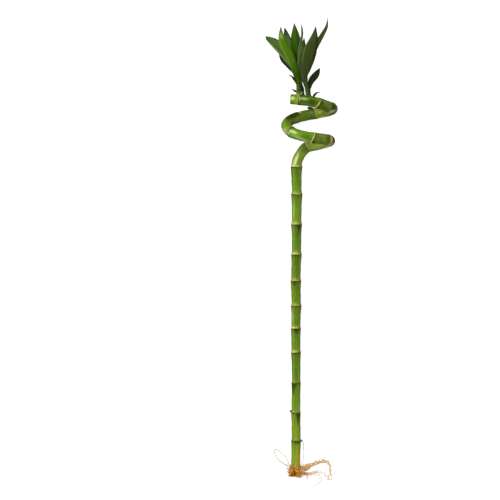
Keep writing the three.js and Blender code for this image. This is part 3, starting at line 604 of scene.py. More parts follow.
def cane_finish():
    """Living green cane: darker below each ring, yellower low down, cream rings with a dark edge, and
    painted highlights and painted shade by which way the surface faces.
    """
    finish = Finish("green_cane")
    product, spread, window = finish.product, finish.spread, finish.window
    blend, tint, kept, noise = finish.blend, finish.tint, finish.kept, finish.noise
    straight, rim = kept("straight", "Vector"), kept("rim", "Vector")
    gap, share, along, deep, pale, rusty, seam = (
        kept(name) for name in ("ring_gap", "internode", "along", "deep", "pale", "rusty", "seam")
    )
    side = finish.sideways()

    usual, deeper, yellow = (finish.ramp(share, stops) for stops in CANE_GREENS)
    green = blend(finish.math("MAXIMUM", deep, 0.0), usual, deeper)
    green = blend(finish.math("MAXIMUM", product(deep, -1.0), 0.0), green, yellow)
    green, noises = grained(finish, straight, green, CANE_GRAIN)
    streaks, light_streaks = noises["streaks"], noises["light_streaks"]
    olive_clouds = noise(straight, (520, 520, 220), 3.0, 0.65)
    olive = blend(spread(olive_clouds, 0.38, 0.62), (70, 94, 26), (118, 112, 62))
    green = tint(green, olive, kept("olive"), 0.75)

    # Painted by which way the surface faces: a greyish olive stripe on the right-facing side is a painted
    # reflection, a lighter strip on the left-facing side a painted highlight, and the dark brown right
    # edge painted shade.
    strip_place = finish.math("ADD", side, finish.centred(light_streaks, 0.5))
    green = tint(green, (130, 144, 62), window(strip_place, 0.35, 0.6, 0.8, 0.92), 0.45)
    green = tint(green, (140, 176, 62), window(strip_place, -0.25, -0.5, -0.75, -0.95), 0.4)
    green = tint(green, (88, 84, 44), spread(side, 0.8, 0.98), 0.65)

    ring_place = finish.xyz(Z=product(kept("ring_above"), PATCH_NOISE_STEP))
    ragged = noise(finish.vector("ADD", rim, ring_place), 1.5, 1.0, 0.4)
    hang = spread(kept("below_ring"), 0.009, 0.0, 0.0, 0.42)
    hang = finish.math("ADD", product(ragged, 0.9), hang)
    # The dark marks add painted shade on the coil's right-facing bends to the dark patches below the
    # rings.
    patch = finish.math("MAXIMUM", product(spread(hang, 0.74, 0.92), 0.7), kept("dark"))
    green = tint(green, (38, 56, 2), patch, 0.92)
    green, _ = grained(finish, straight, green, CANE_SPECKS)

    # The pale flare above each ring is a painted highlight, strongest on the left-facing side.
    flare = product(window(gap, *FLARE_SPAN), spread(light_streaks, 0.3, 0.6, 0.25, 0.85),
                    spread(side, 0.75, -0.35, 0.12, 1.0), spread(along, 0.49, 0.475), pale)
    # Painted highlights: pale places where the key light's highlights fall.
    bloom = product(kept("bloom"), spread(light_streaks, 0.2, 0.6, 0.6, 0.95))
    green = blend(bloom, green, (212, 232, 150))
    green = blend(kept("tan"), green, (210, 194, 152))
    colour = blend(flare, green, (182, 198, 84))

    fibres = noise(straight, (1500, 1500, 300), 2.0, 0.6)
    gap = finish.math("ADD", gap, finish.centred(fibres, 0.0012))
    cream = blend(spread(fibres, 0.3, 0.7), (216, 216, 146), (176, 170, 92))
    tan_places = noise(straight, (150, 150, 60), 2.0)
    tan = finish.math("MAXIMUM", spread(tan_places, 0.52, 0.68, 0.0, 0.6), rusty)
    # The band turns tan towards the right-facing side as painted shade, and pale cream towards the
    # left-facing side as a painted highlight.
    tan = finish.math("MAXIMUM", tan, spread(side, 0.0, 0.7, 0.0, 0.8))
    cream = blend(tan, cream, (148, 116, 58))
    lit = product(spread(side, -0.05, -0.55), spread(pale, 0.7, 0.95, 0.0, 0.8))
    cream = blend(lit, cream, (240, 238, 176))
    band = window(gap, *BAND_SPAN)
    colour = tint(colour, cream, band, spread(tan_places, 0.25, 0.5, 0.6, 1.0), pale)
    line_tone = blend(rusty, (50, 50, 0), (80, 50, 8))
    line_strength = product(finish.math("MULTIPLY_ADD", pale, 0.45, 0.5), seam)
    colour = tint(colour, line_tone, window(gap, *LOW_LINE_SPAN), line_strength)
    colour = tint(colour, (52, 60, 2), window(gap, *SECOND_LINE_SPAN), seam, 0.3)

    rootward = product(spread(along, 0.056, 0.016), spread(side, -0.4, 0.7))
    colour = tint(colour, (186, 156, 40), rootward, 0.75)
    rooted = spread(along, 0.016, 0.005)
    colour = tint(colour, (140, 104, 8), rooted, 0.9)

    from_axis = finish.vector("LENGTH", rim, output="Value")
    pith_dots = noise(straight, 1700, 2.0, 0.6)
    pith = blend(spread(pith_dots, 0.45, 0.65), (196, 190, 120), (150, 134, 70))
    pith = blend(spread(from_axis, 0.7, 0.95), pith, (124, 142, 44))
    pith = blend(rooted, pith, (96, 60, 24))
    colour = blend(spread(from_axis, 0.985, 0.96), colour, pith)

    finish.relief(finish.math("ADD", product(streaks, 0.5), product(fibres, band)), 0.35, 0.0003)
    waxy = spread(streaks, 0.2, 0.8, 0.3, 0.42)
    return finish.done(colour, finish.math("ADD", waxy, product(band, 0.25)), 0.18)


def shoot_finish():
    """Dark green shoot wrapped in sheaths with faint edges, dry at the foot of the older one, with
    painted light on its left-facing side and painted shade on its right.
    """
    finish = Finish("leafy_shoot")
    spread = finish.spread
    side, gap = finish.sideways(), finish.kept("ring_gap")
    green = finish.ramp(finish.kept("internode"), SHOOT_GREENS)
    streaks = finish.noise(finish.kept("straight", "Vector"), (900, 900, 50), 3.0, 0.6)
    green = finish.blend(spread(streaks, 0.4, 0.7, 0.0, 0.6), green, (32, 54, 4))
    # Painted light on the left-facing side and painted shade on the right-facing side.
    green = finish.tint(green, (112, 146, 60), spread(side, -0.3, -0.85), 0.6)
    green = finish.blend(spread(side, 0.2, 0.85, 0.0, 0.6), green, (36, 52, 10))
    colour = finish.tint(green, (112, 130, 62), finish.window(gap, *SHEATH_EDGE_SPAN), 0.3)
    colour = finish.tint(colour, (26, 40, 6), finish.window(gap, *SHEATH_LINE_SPAN), 0.4)
    dry = finish.blend(spread(streaks, 0.42, 0.58), (196, 186, 112), (122, 96, 34))
    foot = spread(finish.kept("along"), 0.0115, 0.005)
    colour = finish.tint(colour, dry, foot, finish.kept("pale"), 0.85)
    finish.relief(streaks, 0.4, 0.0003)
    return finish.done(colour, spread(streaks, 0.2, 0.8, 0.36, 0.5), 0.3)


def leaf_finish(looks):
    """Smooth leaf with fine veins along it, margins in painted light and shade, and a duller underside.
    """
    finish = Finish(f"{looks['name']}_leaf")
    product, spread, blend, tint = finish.product, finish.spread, finish.blend, finish.tint
    across, along, under = finish.kept("across"), finish.kept("along"), finish.kept("under")
    blade_place = finish.xyz(X=across, Y=along)
    from_midrib = finish.math("ABSOLUTE", across)

    long_streaks = finish.noise(blade_place, (6, 1.4, 1), 3.0, 0.6)
    colour = blend(spread(long_streaks, 0.35, 0.7), looks["blade"], looks["deep"])
    waver = finish.centred(long_streaks, 0.5)
    leftward = finish.math("SUBTRACT", product(across, -1.0), waver)
    rightward = finish.math("ADD", across, waver)
    # Margins: painted light on one half of the leaf and painted shade on the other.
    for place, margin in ((leftward, "left"), (rightward, "right")):
        start = looks[f"{margin}_from"]
        colour = blend(spread(place, start - 0.1, start + 0.16, 0.0, 0.9), colour, looks[margin])
    fine_streaks = finish.noise(blade_place, (34, 3, 1), 3.0, 0.6)
    colour = blend(spread(fine_streaks, 0.5, 0.8, 0.0, 0.3), colour, looks["vein"])
    veins = spread(finish.math("SINE", product(across, VEIN_WAVES)), 0.55, 1.0)
    colour = tint(colour, looks["vein"], veins, 0.14)
    midrib = product(spread(from_midrib, 0.075, 0.02), spread(along, 1.0, 0.55))
    colour = tint(colour, looks["vein"], midrib, looks["rib"])
    if looks.get("line"):
        from_line = finish.math("ABSOLUTE", finish.math("SUBTRACT", across, LINE_PLACE))
        line = product(spread(from_line, LINE_WIDTH, LINE_WIDTH / 3), spread(along, 0.85, 0.7))
        colour = tint(colour, looks["line"], line, 0.75)
    colour = tint(colour, looks["base"], spread(along, 0.5, 0.06), 0.85)
    if looks.get("patch"):
        from_patch = finish.math("ABSOLUTE", finish.math("SUBTRACT", along, PATCH_PLACE))
        patch = product(spread(from_patch, PATCH_LENGTH, 0.01), spread(from_midrib, 0.9, 0.2))
        colour = tint(colour, looks["patch"], patch, 0.4)
    tip = spread(finish.math("ADD", along, product(waver, 0.1)), looks["tip_from"], 1.0)
    colour = tint(colour, looks["tip"], tip, 0.9)
    colour = blend(under, colour, blend(0.3, colour, (120, 138, 92)))

    finish.relief(finish.math("ADD", veins, product(fine_streaks, 0.6)), 0.3, 0.0002)
    gloss = spread(long_streaks, 0.2, 0.8, 0.36, 0.48)
    return finish.done(colour, finish.math("ADD", gloss, product(under, 0.16)), 0.08)


def root_finish(name, tones):
    """Orange fibrous roots, each of its own tone from dark to light, paler towards the tip; in the mat
    the darker tones are painted shade.
    """
    finish = Finish(name)
    mottle = finish.noise(finish.add("ShaderNodeTexCoord").outputs["Object"], 380, 3.0, 0.6)
    tone = finish.math("ADD", finish.kept("tone"), finish.math("MULTIPLY_ADD", mottle, 3.0, -1.5))
    colour = finish.ramp(tone, {index / (len(tones) - 1): colour for index, colour in enumerate(tones)})
    tip = finish.spread(finish.kept("share"), 0.12, 0.6, 0.0, 0.75)
    colour = finish.blend(tip, colour, (232, 204, 160))
    colour = finish.tint(colour, (196, 176, 146), finish.kept("pale"), 0.85)
    finish.relief(mottle, 0.5, 0.0004)
    return finish.done(colour, finish.spread(mottle, 0.3, 0.7, 0.5, 0.72), 0.15)


def floor_finish():
    """A pale light table, which softens the shadows."""
    finish = Finish("pale_floor")
    grain = finish.noise(finish.add("ShaderNodeTexCoord").outputs["Object"], 3.0, 2.0)
    finish.shader.inputs["Emission Color"].default_value = WHITE
    finish.shader.inputs["Emission Strength"].default_value = FLOOR_GLOW
    return finish.done(finish.blend(grain, FLOOR_SHADE, FLOOR_TINT), 0.9, 0.1)


# What grows along a line


def grown_tube_tree():
    """Geometry nodes that sweep a round section along lines, with raised rings and fine lumps."""
    tree = bpy.data.node_groups.new("grown_tube", "GeometryNodeTree")

    def socket(name, kind, way="INPUT"):
        tree.interface.new_socket(name, in_out=way, socket_type=f"NodeSocket{kind}")

    socket("Lines", "Geometry")
    for size in GROWTH_SIZES:
        socket(size, "Int" if size == "Sides" else "Float")
    socket("Finish", "Material")
    socket("Tubes", "Geometry", "OUTPUT")
    nodes = Nodes(tree)
    given = nodes.add("NodeGroupInput").outputs

    def named(name, kind="FLOAT"):
        return nodes.add("GeometryNodeInputNamedAttribute", {"Name": name}, data_type=kind).outputs[0]

    def store(geometry, name, value, kind="FLOAT"):
        return nodes.add(
            "GeometryNodeStoreNamedAttribute", {"Geometry": geometry, "Name": name, "Value": value},
            data_type=kind, domain="POINT",
        ).outputs["Geometry"]

    def step(kind, geometry, **inputs):
        inputs = {name.replace("_", " "): value for name, value in inputs.items()}
        return nodes.add(kind, {"Geometry": geometry, **inputs}).outputs[0]

    lines = nodes.add("GeometryNodeMeshToCurve", {"Mesh": given["Lines"]}).outputs["Curve"]
    section = nodes.add("GeometryNodeCurvePrimitiveCircle", {"Resolution": given["Sides"], "Radius": 1.0})
    position = nodes.add("GeometryNodeInputPosition").outputs["Position"]
    section = store(section.outputs["Curve"], "rim", position, "FLOAT_VECTOR")
    tubes = nodes.add("GeometryNodeCurveToMesh", {
        "Curve": lines, "Profile Curve": section, "Scale": named("thickness"), "Fill Caps": True,
    }).outputs["Mesh"]
    rim, normal = named("rim", "FLOAT_VECTOR"), nodes.add("GeometryNodeInputNormal").outputs["Normal"]
    around = nodes.vector("SCALE", rim, named("thickness"))
    straight = nodes.vector("ADD", around, nodes.xyz(Z=named("along")))
    tubes = store(tubes, "straight", straight, "FLOAT_VECTOR")

    ring_place = nodes.xyz(Z=nodes.product(named("ring_number"), WAVER_NOISE_STEP))
    waver = nodes.noise(nodes.vector("ADD", rim, ring_place), 1.1, 2.0, 0.55)
    waver = nodes.product(nodes.centred(waver, 4.0), given["Ring Waver"])
    slant = nodes.vector("DOT_PRODUCT", named("slant", "FLOAT_VECTOR"), normal, output="Value")
    gap = nodes.math("SUBTRACT", nodes.math("ADD", named("ring_gap"), waver), slant)
    tubes = store(tubes, "ring_gap", gap)
    tubes = store(tubes, "facing", normal, "FLOAT_VECTOR")

    reach_share = nodes.math("DIVIDE", named("ring_gap"), given["Ring Reach"])
    reach_share = nodes.math("MULTIPLY_ADD", reach_share, 0.5, 0.5)
    profile = nodes.add("ShaderNodeFloatCurve", {"Value": reach_share})
    shape = profile.mapping.curves[0]
    while len(shape.points) < len(RING_PROFILE):
        shape.points.new(0.5, 0.5)
    for point, place in zip(shape.points, RING_PROFILE):
        point.location = place
    profile.mapping.update()
    ring_lift = nodes.product(nodes.math("MULTIPLY_ADD", profile.outputs["Value"], 2.0, -1.0),
                              given["Ring Height"])
    stretch = nodes.xyz(X=1.0, Y=1.0, Z=given["Lump Stretch"])
    lumps = nodes.add("ShaderNodeTexNoise", {
        "Vector": nodes.vector("MULTIPLY", named("straight", "FLOAT_VECTOR"), stretch),
        "W": given["Seed"], "Scale": nodes.math("DIVIDE", 1.0, given["Lump Size"]), "Detail": 2.0,
        "Roughness": 0.5,
    }, noise_dimensions="4D").outputs["Fac"]
    lump_lift = nodes.centred(lumps, given["Lump Height"])
    lift = nodes.vector("SCALE", normal, nodes.math("ADD", ring_lift, lump_lift))

    tubes = step("GeometryNodeSetPosition", tubes, Offset=lift)
    tubes = step("GeometryNodeSetShadeSmooth", tubes, Shade_Smooth=True)
    tubes = step("GeometryNodeSetMaterial", tubes, Material=given["Finish"])
    tubes = step("GeometryNodeRealizeInstances", tubes)
    nodes.add("NodeGroupOutput", {"Tubes": tubes})
    return tree


def line_mesh(name, lines):
    """One mesh of open lines. Each line is its points and the values that its points keep."""
    counts = [len(line["points"]) for line in lines]
    edges, start = [], 0
    for count in counts:
        edges += [(start + index, start + index + 1) for index in range(count - 1)]
        start += count
    mesh = bpy.data.meshes.new(name)
    mesh.from_pydata(np.vstack([line["points"] for line in lines]).tolist(), edges, [])

    def gathered(value, *size):
        """A value of all lines, one after another, and zero where a line doesn't give it."""
        return np.concatenate([
            np.broadcast_to(line.get(value, 0.0), (count, *size)) for line, count in zip(lines, counts)
        ])

    keep(mesh, "slant", gathered("slant", 3), "FLOAT_VECTOR")
    for value in LINE_VALUES:
        keep(mesh, value, gathered(value))
    return mesh


def grow(name, lines, tree, finish, sizes):
    """The plain mesh that the tube nodes grow along some lines, kept above the surface."""
    carrier = linked(name, line_mesh(name, lines))
    growth = carrier.modifiers.new("growth", "NODES")
    growth.node_group = tree
    inputs = {item.name: item.identifier for item in tree.interface.items_tree
              if item.item_type == "SOCKET" and item.in_out == "INPUT"}
    growth[inputs["Finish"]] = finish
    for size, value in zip(GROWTH_SIZES, sizes):
        growth[inputs[size]] = value
    shown = carrier.evaluated_get(bpy.context.evaluated_depsgraph_get())
    mesh = bpy.data.meshes.new_from_object(shown)
    carrier.modifiers.clear()
    bpy.data.objects.remove(carrier)
    for vertex in mesh.vertices:
        vertex.co.z = max(vertex.co.z, FLOOR_CLEARANCE)
    return mesh


# Cane


def coil_point(turn):
    """Where the coil's centre line is at some turn angle."""
    share = (turn - COIL_FIRST_TURN) / (COIL_LAST_TURN - COIL_FIRST_TURN)
    place = share * (len(COIL_HEIGHTS) - 1)
    index = min(int(place), len(COIL_HEIGHTS) - 2)
    before, start, end, after = (
        COIL_HEIGHTS[min(max(index + k, 0), len(COIL_HEIGHTS) - 1)] for k in (-1, 0, 1, 2)
    )
    height = eased(start, end, (end - before) / 2, (after - start) / 2, place - index)
    radius = mix(COIL_FIRST_RADIUS, COIL_LAST_RADIUS, share)
    x, z = (mix(a, b, share) for a, b in zip(COIL_FIRST_CENTRE, COIL_LAST_CENTRE))
    angle = math.radians(turn)
    return [x + radius * math.cos(angle), height, z + COIL_RISE * math.sin(angle)]


def cane_layout():
    """The cane's centre line, and the places along it of its rings and of its two ends."""
    top = CANE_RINGS[-1]["y"]
    points = [[ROOT_X, 0, ROOT_AXIS_HEIGHT]]
    points += [[ring["x"], ring["y"], mix(ROOT_AXIS_HEIGHT, STRAIGHT_TOP_AXIS_HEIGHT, ring["y"] / top)]
               for ring in CANE_RINGS]
    points += EXIT_BEND
    coil_start = len(points)
    points += [coil_point(turn) for turn in np.arange(COIL_FIRST_TURN, COIL_LAST_TURN + 1, COIL_STEP)]
    coil_end = len(points)
    line = Line(points + LEAFY_END)

    coil_size = {"radius": COIL_RING / 2, "waist": COIL_WAIST / 2}
    stops = [{"at": 0.0, "radius": ROOT_DIAMETER / 2, "end": True}]
    for number, ring in enumerate(CANE_RINGS, 1):
        size = {"radius": ring["ring"] / 2, "waist": ring["waist"] / 2}
        stops.append({**ring, **size, "at": line.length_at(number)})
    for ring in COIL_RINGS:
        place = coil_start + (ring["turn"] - COIL_FIRST_TURN) / COIL_STEP
        stops.append({**ring, **coil_size, "at": line.length_at(place)})
    stops.append({**LEAFY_END_RING, **coil_size, "at": line.length_at(coil_end + LEAFY_END_RING_POINT)})
    leafy_end = {**coil_size, "at": line.length, "radius": COIL_END / 2}
    stops.append({**leafy_end, "deep": LEAFY_END_DEEP, "end": True})
    return line, stops


def cane_radius(length, below, above):
    """Radius between two rings: quickly down to a waist above the lower one, slowly up to the next."""
    low_foot, high_foot = (
        ring["radius"] * (1 if ring.get("end") else RING_FOOT_SHARE) for ring in (below, above)
    )
    span = above["at"] - below["at"]
    waist_at = WAIST_SHARE * span
    from_below = length - below["at"]
    if from_below < waist_at:
        return above["waist"] + (low_foot - above["waist"]) * (1 - from_below / waist_at) ** NARROWING
    share = (from_below - waist_at) / (span - waist_at)
    return above["waist"] + (high_foot - above["waist"]) * share**WIDENING


def cane_line():
    """The cane's line with all that its points keep, finely stepped near the rings and the cut ends."""
    line, stops = cane_layout()
    stations = set(np.arange(0, line.length, WIDE_STEP))
    for ring in stops[1:-1]:
        near = np.arange(-FINE_REACH, FINE_REACH, FINE_STEP) + ring["at"]
        stations = {s for s in stations if abs(s - ring["at"]) > FINE_REACH} | set(near)
    stations = {s for s in stations if CUT_EDGE < s < line.length - CUT_EDGE}
    ends = [0.0, CUT_START, CUT_EDGE]
    stations = np.array(sorted(stations | set(ends) | {line.length - end for end in ends}))
    points = []
    for length in stations:
        upper = next(index for index in range(1, len(stops)) if stops[index]["at"] >= length - 1e-9)
        below, above = stops[upper - 1], stops[upper]
        nearer_above = above["at"] - length < length - below["at"]
        nearest = above if nearer_above else below
        gap = FAR_FROM_RING if nearest.get("end") else length - nearest["at"]
        cut = 1 - min(1, min(length, line.length - length) / CUT_EDGE)
        points.append({
            "thickness": cane_radius(length, below, above) * (1 - CUT_ROUNDING * cut**CUT_CURVE) * MM,
            "ring_gap": np.clip(gap, -FAR_FROM_RING, FAR_FROM_RING) * MM,
            "ring_number": upper if nearer_above else upper - 1,
            "ring_above": upper,
            "below_ring": (FAR_FROM_RING if above.get("end") else above["at"] - length) * MM,
            "internode": (length - below["at"]) / (above["at"] - below["at"]),
            "pale": nearest.get("pale", 0),
            "rusty": nearest.get("rusty", 0),
            "seam": nearest.get("seam", 1),
            "deep": above["deep"],
            "olive": above.get("olive", 0),
            "slant": np.array(nearest.get("slant", (0, 0, 0))) * MM,
        })
    kept = {name: np.array([point[name] for point in points], float) for name in points[0]}
    return {"points": placed(line.at(stations)), "along": stations * MM, **kept}


def keep_marks(mesh):
    """Stores the cane's patches and marks on its mesh, painted highlights and painted shade among them.
    """
    places = np.empty(len(mesh.vertices) * 3)
    mesh.vertices.foreach_get("co", places)
    x, y, z = (places.reshape(-1, 3) / MM - STALK_PLACE).T
    shown = {kind: np.zeros(len(x)) for kind in ("dark", "bloom", "tan")}
    for mark in CANE_MARKS:
        lean = math.radians(mark["lean"])
        from_x, from_y = x - mark["x"], y - mark["y"]
        along = (from_x * math.cos(lean) + from_y * math.sin(lean)) / mark["length"]
        across = (from_y * math.cos(lean) - from_x * math.sin(lean)) / mark["width"]
        strength = mark["strength"] * smooth_share(MARK_REACH - np.hypot(along, across))
        strength *= (z > mark["above"]) & (z < mark.get("below", np.inf)) & (y > mark.get("from", 0))
        shown[mark["kind"]] = np.maximum(shown[mark["kind"]], strength)
    for patch in RING_PATCHES:
        below = (patch["y"] - PATCH_GAP - y) / patch["length"]
        half_width = patch["half_width"] * np.clip(1 - below, 0.02, 1) ** PATCH_TAPER
        strength = smooth_share((PATCH_REACH - np.abs(x - patch["x"]) / half_width) / PATCH_EDGE)
        strength *= (below > 0) & (below < 1) & (z > STRAIGHT_TOP_AXIS_HEIGHT - 2)
        strength *= 1 - PATCH_FADE * np.clip(below, 0, 1)
        shown["dark"] = np.maximum(shown["dark"], strength)
    for kind, strengths in shown.items():
        keep(mesh, kind, strengths)


def make_cane(tree, finish):
    mesh = grow("green_cane", [cane_line()], tree, finish, CANE_GROWTH)
    keep_marks(mesh)
    add_piece("green_cane", mesh, "cane")


def make_side_buds(tree, finish):
    """Small pointed buds in the axils of three rings."""
    shares = np.linspace(0, 1, BUD_STEPS)
    scales = 1 + BUD_SCALE_LIFT * np.abs(np.sin(shares * math.pi * BUD_SCALES))
    outline = np.maximum(BUD_TIP, np.sqrt(np.maximum(0, 1 - shares**BUD_BLUNTNESS))) * scales
    for bud in SIDE_BUDS:
        lean = np.array(bud["lean"], float)
        lean /= np.linalg.norm(lean)
        line = {
            "points": placed(np.array(bud["at"]) + lean * bud["length"] * shares[:, None]),
            "thickness": bud["radius"] * outline * MM,
            "along": (bud["at"][1] + shares * bud["length"]) * MM,
            "internode": 0.5 + 0.5 * shares,
            "ring_gap": (((shares * BUD_SCALES) % 1) - 0.5) * BUD_SCALE_GAP,
            "below_ring": 0.05, "deep": 0.8, "olive": 0.3, "seam": 1.0,
        }
        mesh = grow(bud["name"], [line], tree, finish, BUD_GROWTH)
        keep(mesh, "dark", np.full(len(mesh.vertices), bud["dark"]))
        add_piece(bud["name"], mesh)


# Leafy shoots


def stem_line(stem):
    """The centre line of a stem, and its radius at each of the line's samples."""
    line = Line(stem["path"])
    last = len(stem["diameters"]) - 1
    radii = np.interp(line.lengths / line.length * last, range(last + 1), stem["diameters"]) / 2
    return line, radii


def make_stems(tree, finish):
    """The two shoots, ringed by the edges of their sheaths."""
    for number, stem in enumerate(STEMS):
        node = stem["node"]
        line, radii = stem_line(stem)
        stations = np.linspace(0, line.length, STEM_STEPS)
        nearest = np.abs(stations[:, None] - SHEATH_EDGES).argmin(axis=1)
        above = np.clip(np.searchsorted(SHEATH_EDGES, stations), 0, len(SHEATH_EDGES) - 1)
        below = np.maximum(above - 1, 0)
        span = np.maximum(SHEATH_EDGES[above] - SHEATH_EDGES[below], 1)
        kept = {
            "points": placed(line.at(stations)),
            "thickness": np.interp(stations, line.lengths, radii) * MM,
            "along": stations * MM,
            "ring_gap": (stations - SHEATH_EDGES[nearest]) * MM,
            "ring_number": nearest + 10.0 * number,
            "pale": float(number == 0),
            "internode": np.clip((stations - SHEATH_EDGES[below]) / span, 0, 1),
        }
        mesh = grow(node, [kept], tree, finish, (*STEM_GROWTH, STEM_SEED + number))
        add_piece(f"{node}_sheathed", mesh, node)


# Leaves


def blade_width_share(leaf, place):
    """How wide a leaf is at some share of its length, as a share of its full width."""
    least, widest = leaf["base"] / leaf["width"], leaf["widest"]
    if place < widest:
        return least + (1 - least) * np.sin(np.pi / 2 * np.clip(place / widest, 0, 1)) ** 1.5
    falling = np.cos(np.pi / 2 * np.clip((place - widest) / (1 - widest), 0, 1))
    return np.maximum(falling, 0) ** leaf["point"]


def turned(vector, axis, angle):
    """A vector turned about an axis."""
    return (vector * math.cos(angle) + np.cross(axis, vector) * math.sin(angle)
            + axis * axis.dot(vector) * (1 - math.cos(angle)))


def blade_sections(leaf, seed):
    """Sections of a leaf from its stem to its tip: a loop over the upper skin and back below it."""
    draws = Draws(seed)
    phases = [draws.between(0, TURN) for _ in range(2)]
    line = Line(leaf["path"])
    evenly = np.linspace(0, 1, BLADE_STEPS + 1)
    places = smooth_share(evenly) * BLADE_EASING + evenly * (1 - BLADE_EASING)
    centres = line.at(places * line.length)
    steps = np.gradient(centres, axis=0)
    tangents = steps / np.linalg.norm(steps, axis=1, keepdims=True)
    shares = np.linspace(-1, 1, 2 * BLADE_ACROSS + 1)
    reach = np.abs(shares)
    stem = next((stem for stem in STEMS if stem["node"] == leaf["stem"]), None)
    if stem:
        stem_centre, stem_radii = stem_line(stem)
    size = min(1.0, leaf["width"] / BROAD_LEAF)
    loops = []
    for place, centre, tangent in zip(places, centres, tangents):
        roll = np.interp(place, [0, 0.5, 1], leaf["roll"])
        face = np.array([0.0, 0.0, 1.0])
        face = face - tangent * face.dot(tangent)
        face = turned(face / np.linalg.norm(face), tangent, math.radians(roll))
        side = np.cross(tangent, face)
        half_width = max(TIP_HALF_WIDTH, leaf["width"] / 2 * float(blade_width_share(leaf, place)))
        clasp = max(0.0, 1 - place / CLASP_SHARE)
        fold = mix(leaf["fold"], math.copysign(CLASP_FOLD, leaf["fold"]), clasp)
        ripple = BLADE_RIPPLE * math.sin(TURN * BLADE_RIPPLES * place) * half_width / leaf["width"] * 2
        waves = MARGIN_WAVE * size * half_width / (leaf["width"] / 2) * np.where(
            shares < 0,
            np.sin(TURN * MARGIN_WAVES * place + phases[0]),
            np.sin(TURN * (MARGIN_WAVES + MORE_WAVES) * place + phases[1]),
        )
        lift = fold * half_width * reach**1.5 + ripple * reach * shares + waves * reach**2
        slope = fold * 1.5 * np.sqrt(reach) * np.sign(shares)
        middle = centre + side * (shares * half_width)[:, None] + face * lift[:, None]
        outward = (face - side * slope[:, None]) / np.hypot(1, slope)[:, None]
        thickness = mix(BLADE_THICKNESS, MARGIN_THICKNESS, reach**0.8) * min(1, half_width / 1.2) ** 0.5
        rib = size * np.exp(-((shares / MIDRIB_WIDTH) ** 2)) * (1 - place) ** 0.5
        if stem and place < STEM_HUG_SHARE:
            nearest = np.linalg.norm(stem_centre.samples - centre, axis=1).argmin()
            away = centre - stem_centre.samples[nearest]
            away = away - tangent * away.dot(tangent)
            away /= max(np.linalg.norm(away), 1e-6)
            outside = math.copysign(1, away.dot(face))
            beside = np.cross(tangent, away) * outside
            hug = math.radians(STEM_HUG_ANGLE) * min(1.0, 0.55 + half_width / leaf["width"])
            spread = away * np.cos(shares * hug)[:, None] + beside * np.sin(shares * hug)[:, None]
            share = float(smooth_share(place / STEM_HUG_SHARE))
            hugging = stem_centre.samples[nearest] + (stem_radii[nearest] + STEM_CLEARANCE) * spread
            middle = mix(hugging, middle, share)
            outward = mix(spread * outside, outward, share)
            outward /= np.linalg.norm(outward, axis=1, keepdims=True)
            thickness = mix(CLASP_THICKNESS, thickness, share)
            rib = rib * share
        upper = middle + outward * (thickness / 2 - MIDRIB_SINK * rib)[:, None]
        lower = middle - outward * (thickness / 2 + MIDRIB_KEEL * rib)[:, None]
        loops.append(np.vstack([upper, lower[::-1]]))
    return np.array(loops), places, shares


def closed_skin(name, loops, kept):
    """A closed mesh through rows of loops, which keeps a value for each of its points."""
    count, sides, _ = loops.shape
    index = np.arange(count * sides).reshape(count, sides)
    after = np.roll(index, -1, axis=1)
    walls = np.stack([index[:-1], index[1:], after[1:], after[:-1]], axis=-1).reshape(-1, 4).tolist()
    ends = []
    for row, flip in ((index[0], 1), (index[-1], -1)):
        for side in range(sides // 2 - 1):
            quad = row[[side, side + 1, sides - 2 - side, sides - 1 - side]]
            ends.append(quad[::flip].tolist())
    mesh = bpy.data.meshes.new(name)
    mesh.from_pydata(placed(loops.reshape(-1, 3)).tolist(), [], walls + ends)
    for label, values in kept.items():
        keep(mesh, label, np.broadcast_to(values, (count, sides)))
    mesh.polygons.foreach_set("use_smooth", [True] * len(mesh.polygons))
    return mesh


def make_leaves():
    """One piece for each leaf, in its own colouring."""
    finishes = {looks["name"]: leaf_finish(looks) for looks in LEAF_COLOURINGS}
    for number, leaf in enumerate(LEAVES):
        node = leaf["node"]
        loops, places, shares = blade_sections(leaf, LEAF_SEED + number)
        skin = closed_skin(node, loops, {
            "across": np.concatenate([shares, shares[::-1]]),
            "under": np.repeat([0.0, 1.0], len(shares)),
            "along": places[:, None],
        })
        add_piece(f"{node}_blade", skin, node, finishes[leaf["colouring"]])


# Roots


def round_root_end(bearing, reach, y, flatness=1.0):
    """A place beside the cane's root end, at some bearing and reach from its axis."""
    height = ROOT_AXIS_HEIGHT + flatness * reach * math.sin(bearing)
    return [ROOT_X + reach * math.cos(bearing), y, height]


def root_line(points, diameter, tone, pale=0.0, tip=ROOT_TIP, step=ROOT_STEP, curl=None, fade=1.0):
    """A root along some points. A curl is its reach, its wavelength and where its wave starts, and
    fade tells how pale the tip gets."""
    line = Line(points, ROOT_FINENESS)
    stations = np.linspace(0, line.length, max(4, round(line.length / step)))
    share = stations / line.length
    places = line.at(stations)
    if curl:
        reach, wavelength, start = curl
        waves = TURN * stations / wavelength + start
        places[:, 0] += reach * np.sin(waves)
        places[:, 1] += reach * np.cos(waves * ROOT_CROSS_WAVE + start)
    places[:, 2] = np.maximum(places[:, 2], diameter * ROOT_REST)
    return {
        "points": placed(places), "thickness": diameter / 2 * mix(1, tip, share) * MM,
        "along": stations * MM, "share": share * fade, "tone": tone, "pale": pale,
    }


def mat_radii(draws):
    """Radius of the root mat at each of its steps and sides."""
    mat = ROOT_MAT
    steps = np.arange(mat["steps"] + 1)
    swell = 1 - 0.1 * np.abs(2 * steps / mat["steps"] - 1) ** 2
    lumps = [[draws.sway(mat["lump"]) for _ in range(mat["sides"])] for _ in steps]
    return (mat["radius"] + np.array(lumps)) * swell[:, None]


